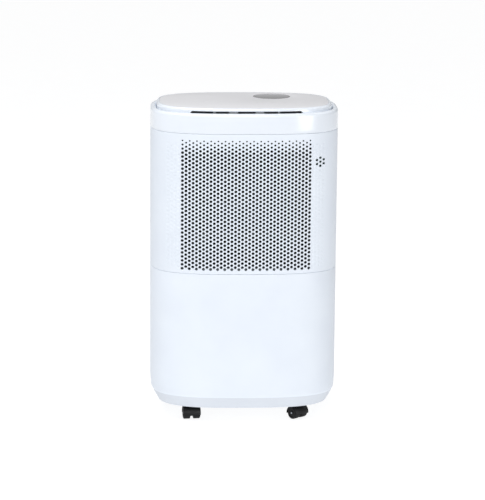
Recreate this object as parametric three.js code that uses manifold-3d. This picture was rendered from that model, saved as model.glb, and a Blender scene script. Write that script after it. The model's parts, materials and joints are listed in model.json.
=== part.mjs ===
// Compressor dehumidifier on four twin-wheel casters, built from its separate pieces.
// Millimetres, +Z up. The intake side faces -Y. The origin is on the floor under the cabinet's middle.

import * as THREE from 'three';
import { mergeVertices } from 'three/addons/utils/BufferGeometryUtils.js';
import Module from 'manifold-3d';

const wasm = await Module();
wasm.setup();

// Driving dimensions

const cabinet = { width: 290, depth: 200, exponent: 3.05, wall: 2.5, partingY: 16 };
const level = { base: 22.5, bevel: 43, tankSeam: 237, ringSeam: 454, ringLip: 485, top: 492 };
const bottomBevel = { inset: 12, power: 1.2 };
const deck = { under: 475.5, top: 478.5 };
const topPlate = { inset: 11.5, bevel: 3, recess: 8.5, underside: 488.3, inlayInset: 15.5, inlayFloor: 490.3 };
const duct = { x: [-83, -11], y: [-17, 44] };
const slot = { halfWidth: 88, low: 480.5, high: 488.2 };
const lens = { x: 45.6, y: 44, radius: 29 };
const grille = { columns: 17, pitch: 12, slotWidth: 5, rows: 3, low: 243, high: 445, bar: 6 };
const sensorHoles = { x: 113.6, z: 409, pitch: 6.2, radius: 1.75 };
const tank = { low: 28, high: 176, inset: 6, wall: 2, left: -127, bayRight: 14, right: 127, bayRear: 50,
  frontRear: -42 };
const handle = { x: -38, halfWidth: 44, y: -60, z: 182, reach: 48 };
const float = { x: 88, y: -63, z: 170 };
const filter = { halfWidth: 100, y: [-82, -77], low: 244, high: 444, bar: 4, windows: 4 };
const platform = { low: 229, high: 232 };
const tray = { halfWidth: 97, y: [-77, -20], high: 241, wall: 2 };
const bulkhead = { halfWidth: 100, y: [-22.5, -20], top: 475 };
const coils = { halfWidth: 92, low: 243, high: 443, depth: 22, fins: 16, evaporatorY: -62, condenserY: -36 };
const fan = { z: 350, scrollRadius: 86, wheelRadius: 66, low: -19.7, high: 46 };
const compressor = { x: 68, y: 20, radius: 46, footReach: 48 };
const accumulator = { x: 30, y: 72, radius: 17, top: 192 };
const dischargePort = { x: 84, y: 28, z: 214.6 };
const caster = { x: 82, y: 61, radius: 9.5, trail: 4, wheelWidth: 11, web: 4 };
const portFloor = { y: 84, thickness: 2, bore: 6.9 };
const cordPort = { x: -44, z: 72, half: 20 };
const drainPort = { x: -44, z: 212, half: 14 };
const rearScrew = { x: 84, heights: [62, 436], floorY: 80, bossRadius: 7.5, headWell: 5.5, postHalf: 6 };
const grip = { y: 51, halfLength: 29, z: 405, halfHeight: 19, depth: 21, wall: 2, corner: 10 };
const gap = 0.3;
const outlineSteps = 48;

// Solids from three.js geometry, joined and cut by manifold

function toSolid(geometry) {
  const bare = new THREE.BufferGeometry();
  bare.setAttribute('position', geometry.getAttribute('position'));
  bare.setIndex(geometry.getIndex());
  const merged = mergeVertices(bare, 1e-4);
  const mesh = new wasm.Mesh({
    numProp: 3,
    vertProperties: new Float32Array(merged.getAttribute('position').array),
    triVerts: new Uint32Array(merged.getIndex().array),
  });
  return new wasm.Manifold(mesh);
}

function toGeometry(solid) {
  const mesh = solid.getMesh();
  const geometry = new THREE.BufferGeometry();
  geometry.setAttribute('position', new THREE.BufferAttribute(mesh.vertProperties, 3));
  geometry.setIndex(new THREE.BufferAttribute(mesh.triVerts, 1));
  geometry.computeVertexNormals();
  return geometry;
}

function joined(solids) {
  return solids.reduce((whole, solid) => whole.add(solid));
}

function block(x, y, z) {
  const geometry = new THREE.BoxGeometry(x[1] - x[0], y[1] - y[0], z[1] - z[0]);
  geometry.translate((x[0] + x[1]) / 2, (y[0] + y[1]) / 2, (z[0] + z[1]) / 2);
  return toSolid(geometry);
}

// A round rod along one axis, between two places on it
function rod(axis, centre, span, radius, segments = 16) {
  const geometry = new THREE.CylinderGeometry(radius, radius, span[1] - span[0], segments);
  if (axis === 'x') geometry.rotateZ(-Math.PI / 2);
  if (axis === 'z') geometry.rotateX(Math.PI / 2);
  const place = { x: centre[0], y: centre[1], z: centre[2] };
  place[axis] = (span[0] + span[1]) / 2;
  geometry.translate(place.x, place.y, place.z);
  return toSolid(geometry);
}

// A profile of [radius, height] points turned about an axis through the origin, closed if it has a bore
function turned(axis, profile, segments = 16) {
  const closed = profile[0][0] > 0 ? [...profile, profile[0]] : profile;
  const points = closed.map(([radius, height]) => new THREE.Vector2(radius, height));
  const geometry = new THREE.LatheGeometry(points, segments);
  if (axis === 'x') geometry.rotateZ(-Math.PI / 2);
  if (axis === 'z') geometry.rotateX(Math.PI / 2);
  return toSolid(geometry);
}

function prism(shape, low, high, curveSegments = 4) {
  const depth = high - low;
  const geometry = new THREE.ExtrudeGeometry(shape, { depth, bevelEnabled: false, curveSegments });
  geometry.translate(0, 0, low);
  return toSolid(geometry);
}

// A closed outline through corner points, each corner rounded to the same radius
function roundedShape(corners, radius) {
  const shape = new THREE.Shape();
  corners.forEach((corner, i) => {
    const here = new THREE.Vector2(...corner);
    const before = new THREE.Vector2(...corners.at(i - 1)).sub(here).setLength(radius).add(here);
    const after = new THREE.Vector2(...corners[(i + 1) % corners.length]).sub(here).setLength(radius).add(here);
    if (i === 0) shape.moveTo(before.x, before.y);
    else shape.lineTo(before.x, before.y);
    shape.quadraticCurveTo(here.x, here.y, after.x, after.y);
  });
  shape.closePath();
  return shape;
}

function roundedRectangle(x, y, radius) {
  return roundedShape([[x[0], y[0]], [x[1], y[0]], [x[1], y[1]], [x[0], y[1]]], radius);
}

// A closed solid through outlines of the cabinet, one for each [height, inset]
function cabinetLoft(levels) {
  const power = 2 / cabinet.exponent;
  const positions = [];
  const index = [];
  for (const [z, inset] of levels) {
    for (let step = 0; step < outlineSteps; step++) {
      const angle = (2 * Math.PI * step) / outlineSteps;
      const cos = Math.cos(angle);
      const sin = Math.sin(angle);
      const x = (cabinet.width / 2 - inset) * Math.sign(cos) * Math.abs(cos) ** power;
      const y = (cabinet.depth / 2 - inset) * Math.sign(sin) * Math.abs(sin) ** power;
      positions.push(x, y, z);
    }
  }
  const top = (levels.length - 1) * outlineSteps;
  for (let row = 0; row < top; row += outlineSteps) {
    for (let step = 0; step < outlineSteps; step++) {
      const a = row + step;
      const b = row + (step + 1) % outlineSteps;
      index.push(a, b, b + outlineSteps, a, b + outlineSteps, a + outlineSteps);
    }
  }
  for (let step = 1; step < outlineSteps - 1; step++) {
    index.push(0, step + 1, step);
    index.push(top, top + step, top + step + 1);
  }
  const geometry = new THREE.BufferGeometry();
  geometry.setAttribute('position', new THREE.Float32BufferAttribute(positions, 3));
  geometry.setIndex(index);
  return toSolid(geometry);
}

// A tube whose centre line is a smooth curve through the points
function tubeAlong(points, radius, steps) {
  const path = new THREE.CatmullRomCurve3(points.map((point) => new THREE.Vector3(...point)), false, 'chordal');
  const section = new THREE.Shape();
  section.absarc(0, 0, radius, 0, 2 * Math.PI);
  const geometry = new THREE.ExtrudeGeometry(section, {
    steps,
    curveSegments: 4,
    bevelEnabled: false,
    extrudePath: path,
  });
  return toSolid(geometry);
}

// Finishes

const finishes = {
  whitePlastic: { color: 0xe9eef5, roughness: 0.45, metalness: 0 },
  silverInlay: { color: 0xd6d6da, roughness: 0.5, metalness: 0.2 },
  greyLens: { color: 0x9a9a9c, roughness: 0.25, metalness: 0 },
  greyPlastic: { color: 0x9da2a8, roughness: 0.6, metalness: 0 },
  clearTank: { color: 0xc9dbe6, roughness: 0.3, metalness: 0 },
  blackPlastic: { color: 0x2c2d30, roughness: 0.55, metalness: 0 },
  blackPaint: { color: 0x1b1c1e, roughness: 0.4, metalness: 0.3 },
  rubber: { color: 0x242424, roughness: 0.9, metalness: 0 },
  aluminium: { color: 0xc4c8cc, roughness: 0.35, metalness: 1 },
  copper: { color: 0xb87348, roughness: 0.3, metalness: 1 },
  steel: { color: 0x9b9fa3, roughness: 0.3, metalness: 1 },
  board: { color: 0x2e6b45, roughness: 0.6, metalness: 0 },
  foam: { color: 0xf2f2ee, roughness: 0.95, metalness: 0 },
};

const dehumidifier = new THREE.Group();

function addPiece(name, solid, finish, parent = dehumidifier) {
  const mesh = new THREE.Mesh(toGeometry(solid), new THREE.MeshStandardMaterial(finishes[finish]));
  mesh.name = name;
  parent.add(mesh);
  return mesh;
}

// Casing: one wall round the cabinet, parted front from rear and at two level seams

function bevelInset(z) {
  const share = Math.max(0, (level.bevel - z) / (level.bevel - level.base));
  return bottomBevel.inset * share ** bottomBevel.power;
}

function wallAround(low, high) {
  const bevelSteps = [0, 0.25, 0.5, 0.75, 1].map((share) => level.base + share * (level.bevel - level.base));
  const heights = low < level.bevel ? [...bevelSteps, high] : [low, high];
  const outer = heights.map((z) => [z, bevelInset(z)]);
  const inner = outer.map(([z, inset]) => [z, inset + cabinet.wall]);
  inner[0][0] -= 1;
  inner.at(-1)[0] += 1;
  return cabinetLoft(outer).subtract(cabinetLoft(inner));
}

const beyond = 200;
const everywhere = [-beyond, beyond];
const frontHalf = block(everywhere, [-beyond, cabinet.partingY - gap / 2], [0, 3 * beyond]);
const rearHalf = block(everywhere, [cabinet.partingY + gap / 2, beyond], [0, 3 * beyond]);
const screwPlaces = rearScrew.heights.flatMap((z) => [[-rearScrew.x, z], [rearScrew.x, z]]);

function addRearShell() {
  const inside = cabinetLoft([
    [level.base, bottomBevel.inset + 0.4], [level.bevel, 0.4], [level.ringSeam, 0.4],
  ]);
  let shell = wallAround(level.base, level.ringSeam - gap / 2).intersect(rearHalf);
  const { y: floorY, thickness, bore } = portFloor;
  for (const { x, z, half } of [cordPort, drainPort]) {
    const outerHalf = half + thickness;
    const walls = block([x - outerHalf, x + outerHalf], [floorY, beyond], [z - outerHalf, z + outerHalf]);
    shell = shell.add(walls.intersect(inside));
    shell = shell.subtract(block([x - half, x + half], [floorY + thickness, beyond], [z - half, z + half]));
    shell = shell.subtract(rod('y', [x, 0, z], [floorY - 1, floorY + thickness + 1], bore));
  }
  const { floorY: wellFloor, bossRadius, headWell } = rearScrew;
  for (const [x, z] of screwPlaces) {
    shell = shell.add(rod('y', [x, 0, z], [wellFloor - 2, beyond], bossRadius).intersect(inside));
    shell = shell.subtract(rod('y', [x, 0, z], [wellFloor, beyond], headWell));
    shell = shell.subtract(rod('y', [x, 0, z], [wellFloor - 3, wellFloor + 1], 2.1, 12));
  }
  const gripHole = gripOutline(gap);
  for (const side of [-1, 1]) {
    shell = shell.subtract(gripPrism(gripHole, side, cabinet.width / 2 - 2 * grip.depth, beyond));
  }
  addPiece('rear_shell', shell, 'whitePlastic');
}

// Side grips: cups let into the rear shell's sides, open outwards

function gripOutline(margin) {
  const y = [grip.y - grip.halfLength - margin, grip.y + grip.halfLength + margin];
  const z = [grip.z - grip.halfHeight - margin, grip.z + grip.halfHeight + margin];
  return roundedRectangle(y, z, grip.corner);
}

function gripPrism(outline, side, low, high) {
  const turn = new THREE.Matrix4().makeBasis(
    new THREE.Vector3(0, 1, 0), new THREE.Vector3(0, 0, 1), new THREE.Vector3(1, 0, 0));
  const geometry = new THREE.ExtrudeGeometry(outline, {
    depth: high - low,
    bevelEnabled: false,
    curveSegments: 4,
  });
  geometry.applyMatrix4(turn);
  geometry.translate(side > 0 ? low : -high, 0, 0);
  return toSolid(geometry);
}

function addGripCups() {
  const skin = cabinetLoft([[level.tankSeam, gap], [level.ringSeam, gap]]);
  const floorX = cabinet.width / 2 - grip.depth;
  for (const [name, side] of [['grip_cup_left', -1], ['grip_cup_right', 1]]) {
    const cup = gripPrism(gripOutline(0), side, floorX - grip.wall, beyond).intersect(skin);
    addPiece(name, cup.subtract(gripPrism(gripOutline(-grip.wall), side, floorX, beyond + 1)), 'greyPlastic');
  }
}

function addRearScrews() {
  screwPlaces.forEach(([x, z], i) => {
    const head = rod('y', [0, 0, 0], [0, 2.6], 4.4, 12);
    const shank = rod('y', [0, 0, 0], [-11, 0.5], 1.6, 8);
    const screw = addPiece(`rear_screw_${i + 1}`, head.add(shank), 'steel');
    screw.position.set(x, rearScrew.floorY + gap, z);
  });
}

// Posts that the rear screws bite into

function screwPost(x, z) {
  const rear = rearScrew.floorY - 2 - gap;
  return block([x - rearScrew.postHalf, x + rearScrew.postHalf], [rear - 8.2, rear], z);
}

function screwHole(x, z) {
  return rod('y', [x, 0, z], [60, rearScrew.floorY], 2, 12);
}

// Base pan: floor plate with caster sockets, screw posts and the wall beside the tank bay

function addBasePan() {
  const inset = bottomBevel.inset + cabinet.wall + 0.7;
  const floorTop = level.base + 5;
  let pan = cabinetLoft([[level.base, inset], [floorTop, inset]]);
  pan = pan.add(block([14.9, 16.7], [-38, 54], [floorTop - 1, 90]));
  pan = pan.add(block([-112, 16.7], [52, 54], [floorTop - 1, 90]));
  for (const x of [-rearScrew.x, rearScrew.x]) {
    pan = pan.add(screwPost(x, [floorTop - 1, rearScrew.heights[0] + 8]));
    pan = pan.subtract(screwHole(x, rearScrew.heights[0]));
  }
  for (const x of [-caster.x, caster.x]) {
    for (const y of [-caster.y, caster.y]) {
      pan = pan.subtract(rod('z', [x, y, 0], [level.base - 1, level.base + 4], 4.1));
    }
  }
  addPiece('base_pan', pan, 'greyPlastic');
}

// Upper ring, with the deck that closes the cabinet and carries the top plate

function addUpperHousing() {
  const low = level.ringSeam + gap / 2;
  const lip = level.ringLip;
  const outer = cabinetLoft([[low, 0], [lip - 4.6, 0], [lip - 1.8, 1], [lip - 0.4, 2.8], [lip, 4.8]]);
  const cavity = cabinetLoft([[low - 1, cabinet.wall], [deck.under, cabinet.wall]]);
  const recess = cabinetLoft([[deck.top, topPlate.recess], [lip + 1, topPlate.recess]]);
  let ring = outer.subtract(cavity).subtract(recess);
  for (const x of [-rearScrew.x, rearScrew.x]) {
    ring = ring.add(screwPost(x, [rearScrew.heights[1] - 8, deck.under + 0.5]));
    ring = ring.subtract(screwHole(x, rearScrew.heights[1]));
  }
  ring = ring.subtract(block(duct.x, duct.y, [deck.under - 5, deck.top + 1]));
  addPiece('upper_housing', ring, 'whitePlastic');
}

// Raised top plate: white bevelled rim, silver inlay and a round display lens flush with it

function addTopPlate() {
  const low = deck.top + gap;
  const { inset, bevel, underside, inlayInset, inlayFloor } = topPlate;
  const rim = cabinetLoft([[low, inset], [level.top - bevel, inset], [level.top, inset + bevel]]);
  const hollow = cabinetLoft([[low - 1, inset + cabinet.wall], [underside, inset + cabinet.wall]]);
  const recess = cabinetLoft([[inlayFloor, inlayInset], [level.top + 1, inlayInset]]);
  const slotHeight = [slot.low, slot.high];
  const opening = block([-slot.halfWidth, slot.halfWidth], [-cabinet.depth / 2, -60], slotHeight);
  addPiece('top_panel', rim.subtract(hollow).subtract(recess).subtract(opening), 'whitePlastic');

  const inlay = cabinetLoft([[inlayFloor + gap, inlayInset + gap], [level.top, inlayInset + gap]]);
  const lensPocket = rod('z', [lens.x, lens.y, 0], [deck.top, level.top + 1], lens.radius + gap, 40);
  addPiece('top_inlay', inlay.subtract(lensPocket), 'silverInlay');

  const window = rod('z', [0, 0, 0], [inlayFloor + gap, level.top], lens.radius, 40);
  const disc = addPiece('display_lens', window, 'greyLens');
  disc.position.set(lens.x, lens.y, 0);

  const plate = block([-26, 26], [-22, 22], [0, 1.6]);
  const lamps = [-12, 0, 12].map((x) => block([x - 3, x + 3], [-3, 3], [1.5, 4.5]));
  const connector = block([-22, -14], [8, 20], [1.5, 6]);
  const display = addPiece('display_board', joined([plate, ...lamps, connector]), 'board');
  display.position.set(lens.x, lens.y, deck.top + 0.5);
}

function addOutletGrille() {
  const cells = [[-86, -50], [-48, -26.5], [-13.5, 13.5], [26.5, 48], [50, 86]];
  const behind = topPlate.inset + cabinet.wall + gap;
  const levels = [deck.top + 0.4, topPlate.underside - gap];
  const band = cabinetLoft(levels.map((z) => [z, behind])).subtract(
    cabinetLoft([[levels[0] - 1, behind + 5], [levels[1] + 1, behind + 5]]));
  const halfWidth = slot.halfWidth + 2;
  let vanes = band.intersect(block([-halfWidth, halfWidth], [-beyond, 0], levels));
  for (const cell of cells) vanes = vanes.subtract(block(cell, [-beyond, 0], [slot.low, levels[1] - 1]));
  addPiece('outlet_grille', vanes, 'blackPlastic');
}

// Intake: pull-off grille cover and the dust filter clipped behind it

function addGrilleCover() {
  let cover = wallAround(level.tankSeam + gap / 2, level.ringSeam - gap / 2).intersect(frontHalf);
  const throughFront = [-cabinet.depth / 2 - 10, -60];
  const rowPitch = (grille.high - grille.low + grille.bar) / grille.rows;
  for (let column = 0; column < grille.columns; column++) {
    const x = (column - (grille.columns - 1) / 2) * grille.pitch;
    for (let row = 0; row < grille.rows; row++) {
      const low = grille.low + row * rowPitch;
      const across = [x - grille.slotWidth / 2, x + grille.slotWidth / 2];
      cover = cover.subtract(block(across, throughFront, [low, low + rowPitch - grille.bar]));
    }
  }
  const { x, z, pitch, radius } = sensorHoles;
  cover = cover.subtract(rod('y', [x, 0, z], throughFront, radius, 6));
  for (let turn = 0; turn < 6; turn++) {
    const angle = (turn * Math.PI) / 3 + Math.PI / 6;
    const centre = [x + pitch * Math.cos(angle), 0, z + pitch * Math.sin(angle)];
    cover = cover.subtract(rod('y', centre, throughFront, radius, 6));
  }
  addPiece('front_grille_cover', cover, 'whitePlastic');
}

function addFilter() {
  const { halfWidth, y, low, high, bar, windows } = filter;
  let frame = block([-halfWidth, halfWidth], y, [low, high]);
  const rowPitch = (high - low - bar) / windows;
  for (const x of [[bar - halfWidth, -bar / 2], [bar / 2, halfWidth - bar]]) {
    for (let row = 0; row < windows; row++) {
      const sill = low + bar + row * rowPitch;
      frame = frame.subtract(block(x, [y[0] - 1, y[1] + 1], [sill, sill + rowPitch - bar]));
    }
  }
  addPiece('filter_frame', frame, 'blackPlastic');
  const cloth = block([2 - halfWidth, halfWidth - 2], [y[1] + gap, y[1] + gap + 0.8], [low + 2, high - 2]);
  addPiece('filter_mesh', cloth, 'blackPlastic');
}

function addHumiditySensor() {
  const board = block([-7, 7], [-1, 1], [-10, 10]);
  const chip = block([-3, 3], [-2.2, -0.9], [-3, 3]);
  const bracket = block([-3, 3], [0.9, 43.2], [-3, 3]);
  const sensor = addPiece('humidity_sensor', joined([board, chip, bracket]), 'board');
  sensor.position.set(sensorHoles.x, -66, sensorHoles.z);
}

// Chassis: deck with the drip tray, and the bulkhead that carries coils and fan

function addChassis() {
  const { low, high } = platform;
  const trayWidth = [tray.wall - tray.halfWidth, tray.halfWidth - tray.wall];
  let chassis = cabinetLoft([[low, 3.2], [high, 3.2]]);
  chassis = chassis.subtract(block(everywhere, [-beyond, -90], [low - 9, high + 8]));
  chassis = chassis.add(block([-tray.halfWidth, tray.halfWidth], tray.y, [high - 1, tray.high]));
  chassis = chassis.subtract(block(trayWidth, [tray.y[0] + 1.5, bulkhead.y[0]], [high, tray.high + 1]));
  chassis = chassis.add(block([-bulkhead.halfWidth, bulkhead.halfWidth], bulkhead.y, [high - 1, bulkhead.top]));
  const sensorArm = [bulkhead.halfWidth - 1, sensorHoles.x + 6];
  chassis = chassis.add(block(sensorArm, bulkhead.y, [sensorHoles.z - 12, sensorHoles.z + 12]));
  chassis = chassis.subtract(rod('y', [0, 0, fan.z], [bulkhead.y[0] - 1, bulkhead.y[1] + 1], 58, 40));
  const drain = [-50, -50, 0];
  chassis = chassis.add(rod('z', drain, [low - 10, low + 1], 9));
  chassis = chassis.subtract(rod('z', drain, [low - 11, high + 1], 6));
  for (const [x, y] of [[accumulator.x, accumulator.y], [dischargePort.x, dischargePort.y]]) {
    chassis = chassis.subtract(rod('z', [x, y, 0], [low - 1, high + 1], 6));
  }
  addPiece('chassis', chassis, 'greyPlastic');
}

// Refrigeration circuit

function addCompressor() {
  const { x, y, radius, footReach } = compressor;
  let shell = turned('z', [[0, 42], [34, 42], [43, 47], [radius, 56], [radius, 190], [43, 200], [30, 209],
    [12, 214], [0, 214]], 20);
  const feet = [30, 150, 270].map((degrees) => (degrees * Math.PI) / 180);
  for (const angle of feet) {
    const tip = [footReach * Math.cos(angle), footReach * Math.sin(angle)];
    const arm = new THREE.BoxGeometry(footReach, 18, 3);
    arm.translate(footReach / 2, 0, 40);
    arm.rotateZ(angle);
    shell = shell.add(toSolid(arm)).add(rod('z', [...tip, 0], [38.5, 41.5], 9, 16));
  }
  shell = shell.add(rod('z', [0, 0, 0], [38.5, 44], 30));
  for (const angle of feet) {
    const tip = [footReach * Math.cos(angle), footReach * Math.sin(angle)];
    shell = shell.subtract(rod('z', [...tip, 0], [30, 50], 3.3, 16));
  }
  addPiece('compressor', shell, 'blackPaint').position.set(x, y, 0);

  feet.forEach((angle, i) => {
    const profile = [[0, 0], [8, 0], [8, 10.4], [2.9, 10.4], [2.9, 16], [0, 16]];
    const foot = addPiece(`compressor_foot_${i + 1}`, turned('z', profile, 12), 'rubber');
    foot.position.set(x + footReach * Math.cos(angle), y + footReach * Math.sin(angle), 27.8);
  });

  const bottle = turned('z', [[0, 74], [8, 74], [accumulator.radius, 84], [accumulator.radius, 172], [8, 184],
    [3.2, 186], [3.2, accumulator.top], [0, accumulator.top]], 20);
  addPiece('accumulator', bottle, 'blackPaint').position.set(accumulator.x, accumulator.y, 0);
}

function coilBlock(y) {
  const { halfWidth, low, high, depth, fins } = coils;
  const pieces = [block([-halfWidth, halfWidth], [y - 1.5, y + 1.5], [low + 2, high - 2])];
  const pitch = (2 * halfWidth - 1.2) / (fins - 1);
  for (let fin = 0; fin < fins; fin++) {
    const x = -halfWidth + fin * pitch;
    pieces.push(block([x, x + 1.2], [y - depth / 2, y + depth / 2], [low, high]));
  }
  for (const z of [293, 343, 393]) {
    const bend = tubeAlong([[halfWidth - 1, y, z - 10], [halfWidth + 7, y, z - 7], [halfWidth + 10, y, z],
      [halfWidth + 7, y, z + 7], [halfWidth - 1, y, z + 10]], 3.2, 5);
    pieces.push(bend);
  }
  return joined(pieces);
}

function addRefrigerantCircuit() {
  addPiece('evaporator', coilBlock(coils.evaporatorY), 'aluminium');
  addPiece('condenser', coilBlock(coils.condenserY), 'aluminium');
  const portX = coils.halfWidth + 0.5;
  const suction = [[accumulator.x, accumulator.y, accumulator.top + gap], [accumulator.x, accumulator.y, 236],
    [48, 70, 249], [90, 56, 253], [114, 20, 255], [116, -30, 257], [108, -57, 258],
    [100, coils.evaporatorY, 258], [portX, coils.evaporatorY, 258]];
  addPiece('suction_pipe', tubeAlong(suction, 3.2, 26), 'copper');
  const exit = dischargePort;
  const discharge = [[exit.x, exit.y, exit.z], [exit.x, exit.y, 236], [94, 22, 254], [108, 6, 268], [112, -14, 272],
    [108, -30, 272], [100, coils.condenserY, 272], [portX, coils.condenserY, 272]];
  addPiece('discharge_pipe', tubeAlong(discharge, 2.8, 20), 'copper');
}

// Fan: scroll housing, wheel on its own shaft and the motor behind

function addFan() {
  const { z, scrollRadius, wheelRadius, low, high } = fan;
  const ductTop = deck.under - gap;
  const outer = rod('y', [0, 0, z], [low, high], scrollRadius, 40).add(
    block([-scrollRadius, -8], [low, high], [z, ductTop]));
  const inner = rod('y', [0, 0, z], [low + 2, high - 2], scrollRadius - 2, 40).add(
    block([2 - scrollRadius, -10], [low + 2, high - 2], [z, ductTop + 1]));
  const mouths = rod('y', [0, 0, z], [low - 1, low + 3], 56, 32).add(rod('y', [0, 0, z], [40, 50], 14));
  addPiece('fan_scroll', outer.subtract(inner).subtract(mouths), 'greyPlastic');

  let wheel = rod('y', [0, 0, 0], [34, 36], wheelRadius, 28).add(rod('y', [0, 0, 0], [14, 35], 9, 12));
  wheel = wheel.add(rod('y', [0, 0, 0], [-16, -13], wheelRadius, 28).subtract(
    rod('y', [0, 0, 0], [-17, -12], wheelRadius - 12, 28)));
  for (let blade = 0; blade < 18; blade++) {
    const vane = new THREE.BoxGeometry(11, 48.5, 1.6);
    vane.rotateY(0.6);
    vane.translate(wheelRadius - 7, 10.5, 0);
    vane.rotateY((blade * Math.PI) / 9);
    wheel = wheel.add(toSolid(vane));
  }
  wheel = wheel.subtract(rod('y', [0, 0, 0], [10, 40], 3.4, 12));
  addPiece('fan_wheel', wheel, 'blackPlastic').position.set(0, 0, z);
  addPiece('fan_shaft', rod('y', [0, 0, 0], [12, 80], 3, 12), 'steel').position.set(0, 0, z);

  const motor = turned('y', [[3.6, 0], [12, 0], [14, 3], [34, 5], [38, 9], [38, 29], [34, 34], [3.6, 34]], 28);
  addPiece('fan_motor', motor, 'blackPaint').position.set(0, 48.5, z);
}

// Electrics

function addElectrics() {
  const box = block([0, 22], [0, 56], [0, 120]).subtract(block([2, 20], [2, 58], [2, 118]));
  addPiece('control_box', box, 'blackPlastic').position.set(98, -12, 300);

  const plate = block([0, 1.6], [0, 48], [0, 108]);
  const parts = [block([1.5, 15], [6, 20], [12, 34]), block([1.5, 12], [26, 44], [14, 30]),
    block([1.5, 10], [8, 26], [50, 66]), block([1.5, 14], [30, 40], [60, 96])];
  addPiece('control_board', joined([plate, ...parts]), 'board').position.set(101, -7, 306);

  const can = turned('z', [[0, 0], [14, 0], [15, 1.5], [15, 58], [13, 60], [0, 60]], 20);
  const tabs = block([-8, -4], [-0.5, 0.5], [59, 68]).add(block([4, 8], [-0.5, 0.5], [59, 68]));
  addPiece('capacitor', can.add(tabs), 'aluminium').position.set(-4, 74, 27.8);

  const body = block([-8, 8], [-8, 8], [0, 22.5]);
  addPiece('level_switch', body.add(block([-3, 3], [-3, 3], [-6, 1])), 'blackPlastic').position.set(
    float.x, float.y, 206);
}

// Rear ports

function addRearPorts() {
  const gland = turned('y', [[3.5, -6], [6.6, -6], [6.6, 2.3], [9, 2.3], [9, 4.3], [6, 4.3], [4.9, 11], [3.5, 11]]);
  addPiece('cord_gland', gland, 'blackPlastic').position.set(cordPort.x, portFloor.y, cordPort.z);

  const spout = turned('y', [[4.6, -20], [6.6, -20], [6.6, 2.3], [8.6, 2.3], [8.6, 4.3], [6.6, 4.3], [6.6, 9],
    [4.6, 9]]);
  addPiece('drain_spout', spout, 'greyPlastic').position.set(drainPort.x, portFloor.y, drainPort.z);

  const plug = turned('y', [[0, -8], [3.7, -8], [4.2, -6], [4.2, 9.3], [8, 9.3], [8, 12], [6.5, 13], [0, 13]]);
  addPiece('drain_plug', plug, 'rubber').position.set(drainPort.x, portFloor.y, drainPort.z);
}

// Water tank: the wrap-round front, the bucket, its lid, the bail handle and the float

function bayOutline(margin) {
  const { left, right, bayRight, bayRear, frontRear } = tank;
  return roundedShape([[left + margin, -110], [right - margin, -110], [right - margin, frontRear - margin],
    [bayRight - margin, frontRear - margin], [bayRight - margin, bayRear - margin],
    [left + margin, bayRear - margin]], 8);
}

function addTank() {
  const { low, high, inset, wall } = tank;
  const frontTop = level.tankSeam - gap / 2;
  const lip = cabinetLoft([[frontTop - 3, 1], [frontTop, 1]]).subtract(
    cabinetLoft([[frontTop - 4, 8], [frontTop + 1, 8]]));
  const front = wallAround(level.base, frontTop).add(lip).intersect(frontHalf);
  addPiece('tank_front', front, 'whitePlastic');

  const bodyLevels = [[low, inset + 6], [level.bevel, inset], [high, inset]];
  const outer = cabinetLoft(bodyLevels).intersect(prism(bayOutline(0), low - 1, high + 1));
  const innerLevels = [[low + 2.5, inset + wall + 5], [level.bevel, inset + wall], [high + 1, inset + wall]];
  const inner = cabinetLoft(innerLevels).intersect(prism(bayOutline(wall), low, high + 2));
  addPiece('tank_bucket', outer.subtract(inner), 'clearTank');

  const lidLow = high + gap;
  let lid = cabinetLoft([[lidLow, inset + 0.5], [lidLow + 2, inset + 0.5]]);
  lid = lid.intersect(prism(bayOutline(0.5), lidLow - 1, lidLow + 3));
  lid = lid.subtract(prism(roundedRectangle([-61, -25], [-76, -25], 8), lidLow - 1, lidLow + 3));
  for (const side of [-1, 1]) {
    const middle = handle.x + side * (handle.halfWidth + 4.5);
    const span = [middle - 2, middle + 2];
    lid = lid.add(block(span, [handle.y - 6, handle.y + 6], [lidLow + 1, handle.z + 5]));
    const lug = float.x + side * 10;
    lid = lid.add(block([lug - 1.5, lug + 1.5], [float.y - 4, float.y + 4], [float.z - 4, lidLow + 1]));
  }
  lid = lid.subtract(rod('x', [0, handle.y, handle.z], [-100, 50], 2.3));
  lid = lid.subtract(rod('x', [0, float.y, float.z], [60, 110], 2));
  addPiece('tank_lid', lid, 'greyPlastic');

  addTankHandle();
  addTankFloat();
}

function addTankHandle() {
  const { halfWidth, reach } = handle;
  const pieces = [block([-halfWidth - 2, halfWidth + 2], [reach - 4, reach + 4], [-3.2, 3.2])];
  for (const side of [-1, 1]) {
    const arm = [side * halfWidth - 2, side * halfWidth + 2];
    pieces.push(block(arm, [0, reach], [-3, 3]));
    pieces.push(rod('x', [0, 0, 0], arm, 3.3));
  }
  pieces.push(rod('x', [0, 0, 0], [-halfWidth - 6, -halfWidth + 1], 2, 12));
  pieces.push(rod('x', [0, 0, 0], [halfWidth - 1, halfWidth + 6], 2, 12));
  addPiece('tank_handle', joined(pieces), 'greyPlastic').position.set(handle.x, handle.y, handle.z);
}

function addTankFloat() {
  const body = block([-12, 12], [-7, 7], [-42, -18]);
  const arm = block([-2, 2], [-2, 2], [-19, 0]);
  const pin = rod('x', [0, 0, 0], [-11, 11], 1.6, 12);
  addPiece('tank_float', joined([body, arm, pin]), 'foam').position.set(float.x, float.y, float.z);
}

// Casters: hood on a swivel stem, an axle and two wheels

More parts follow.
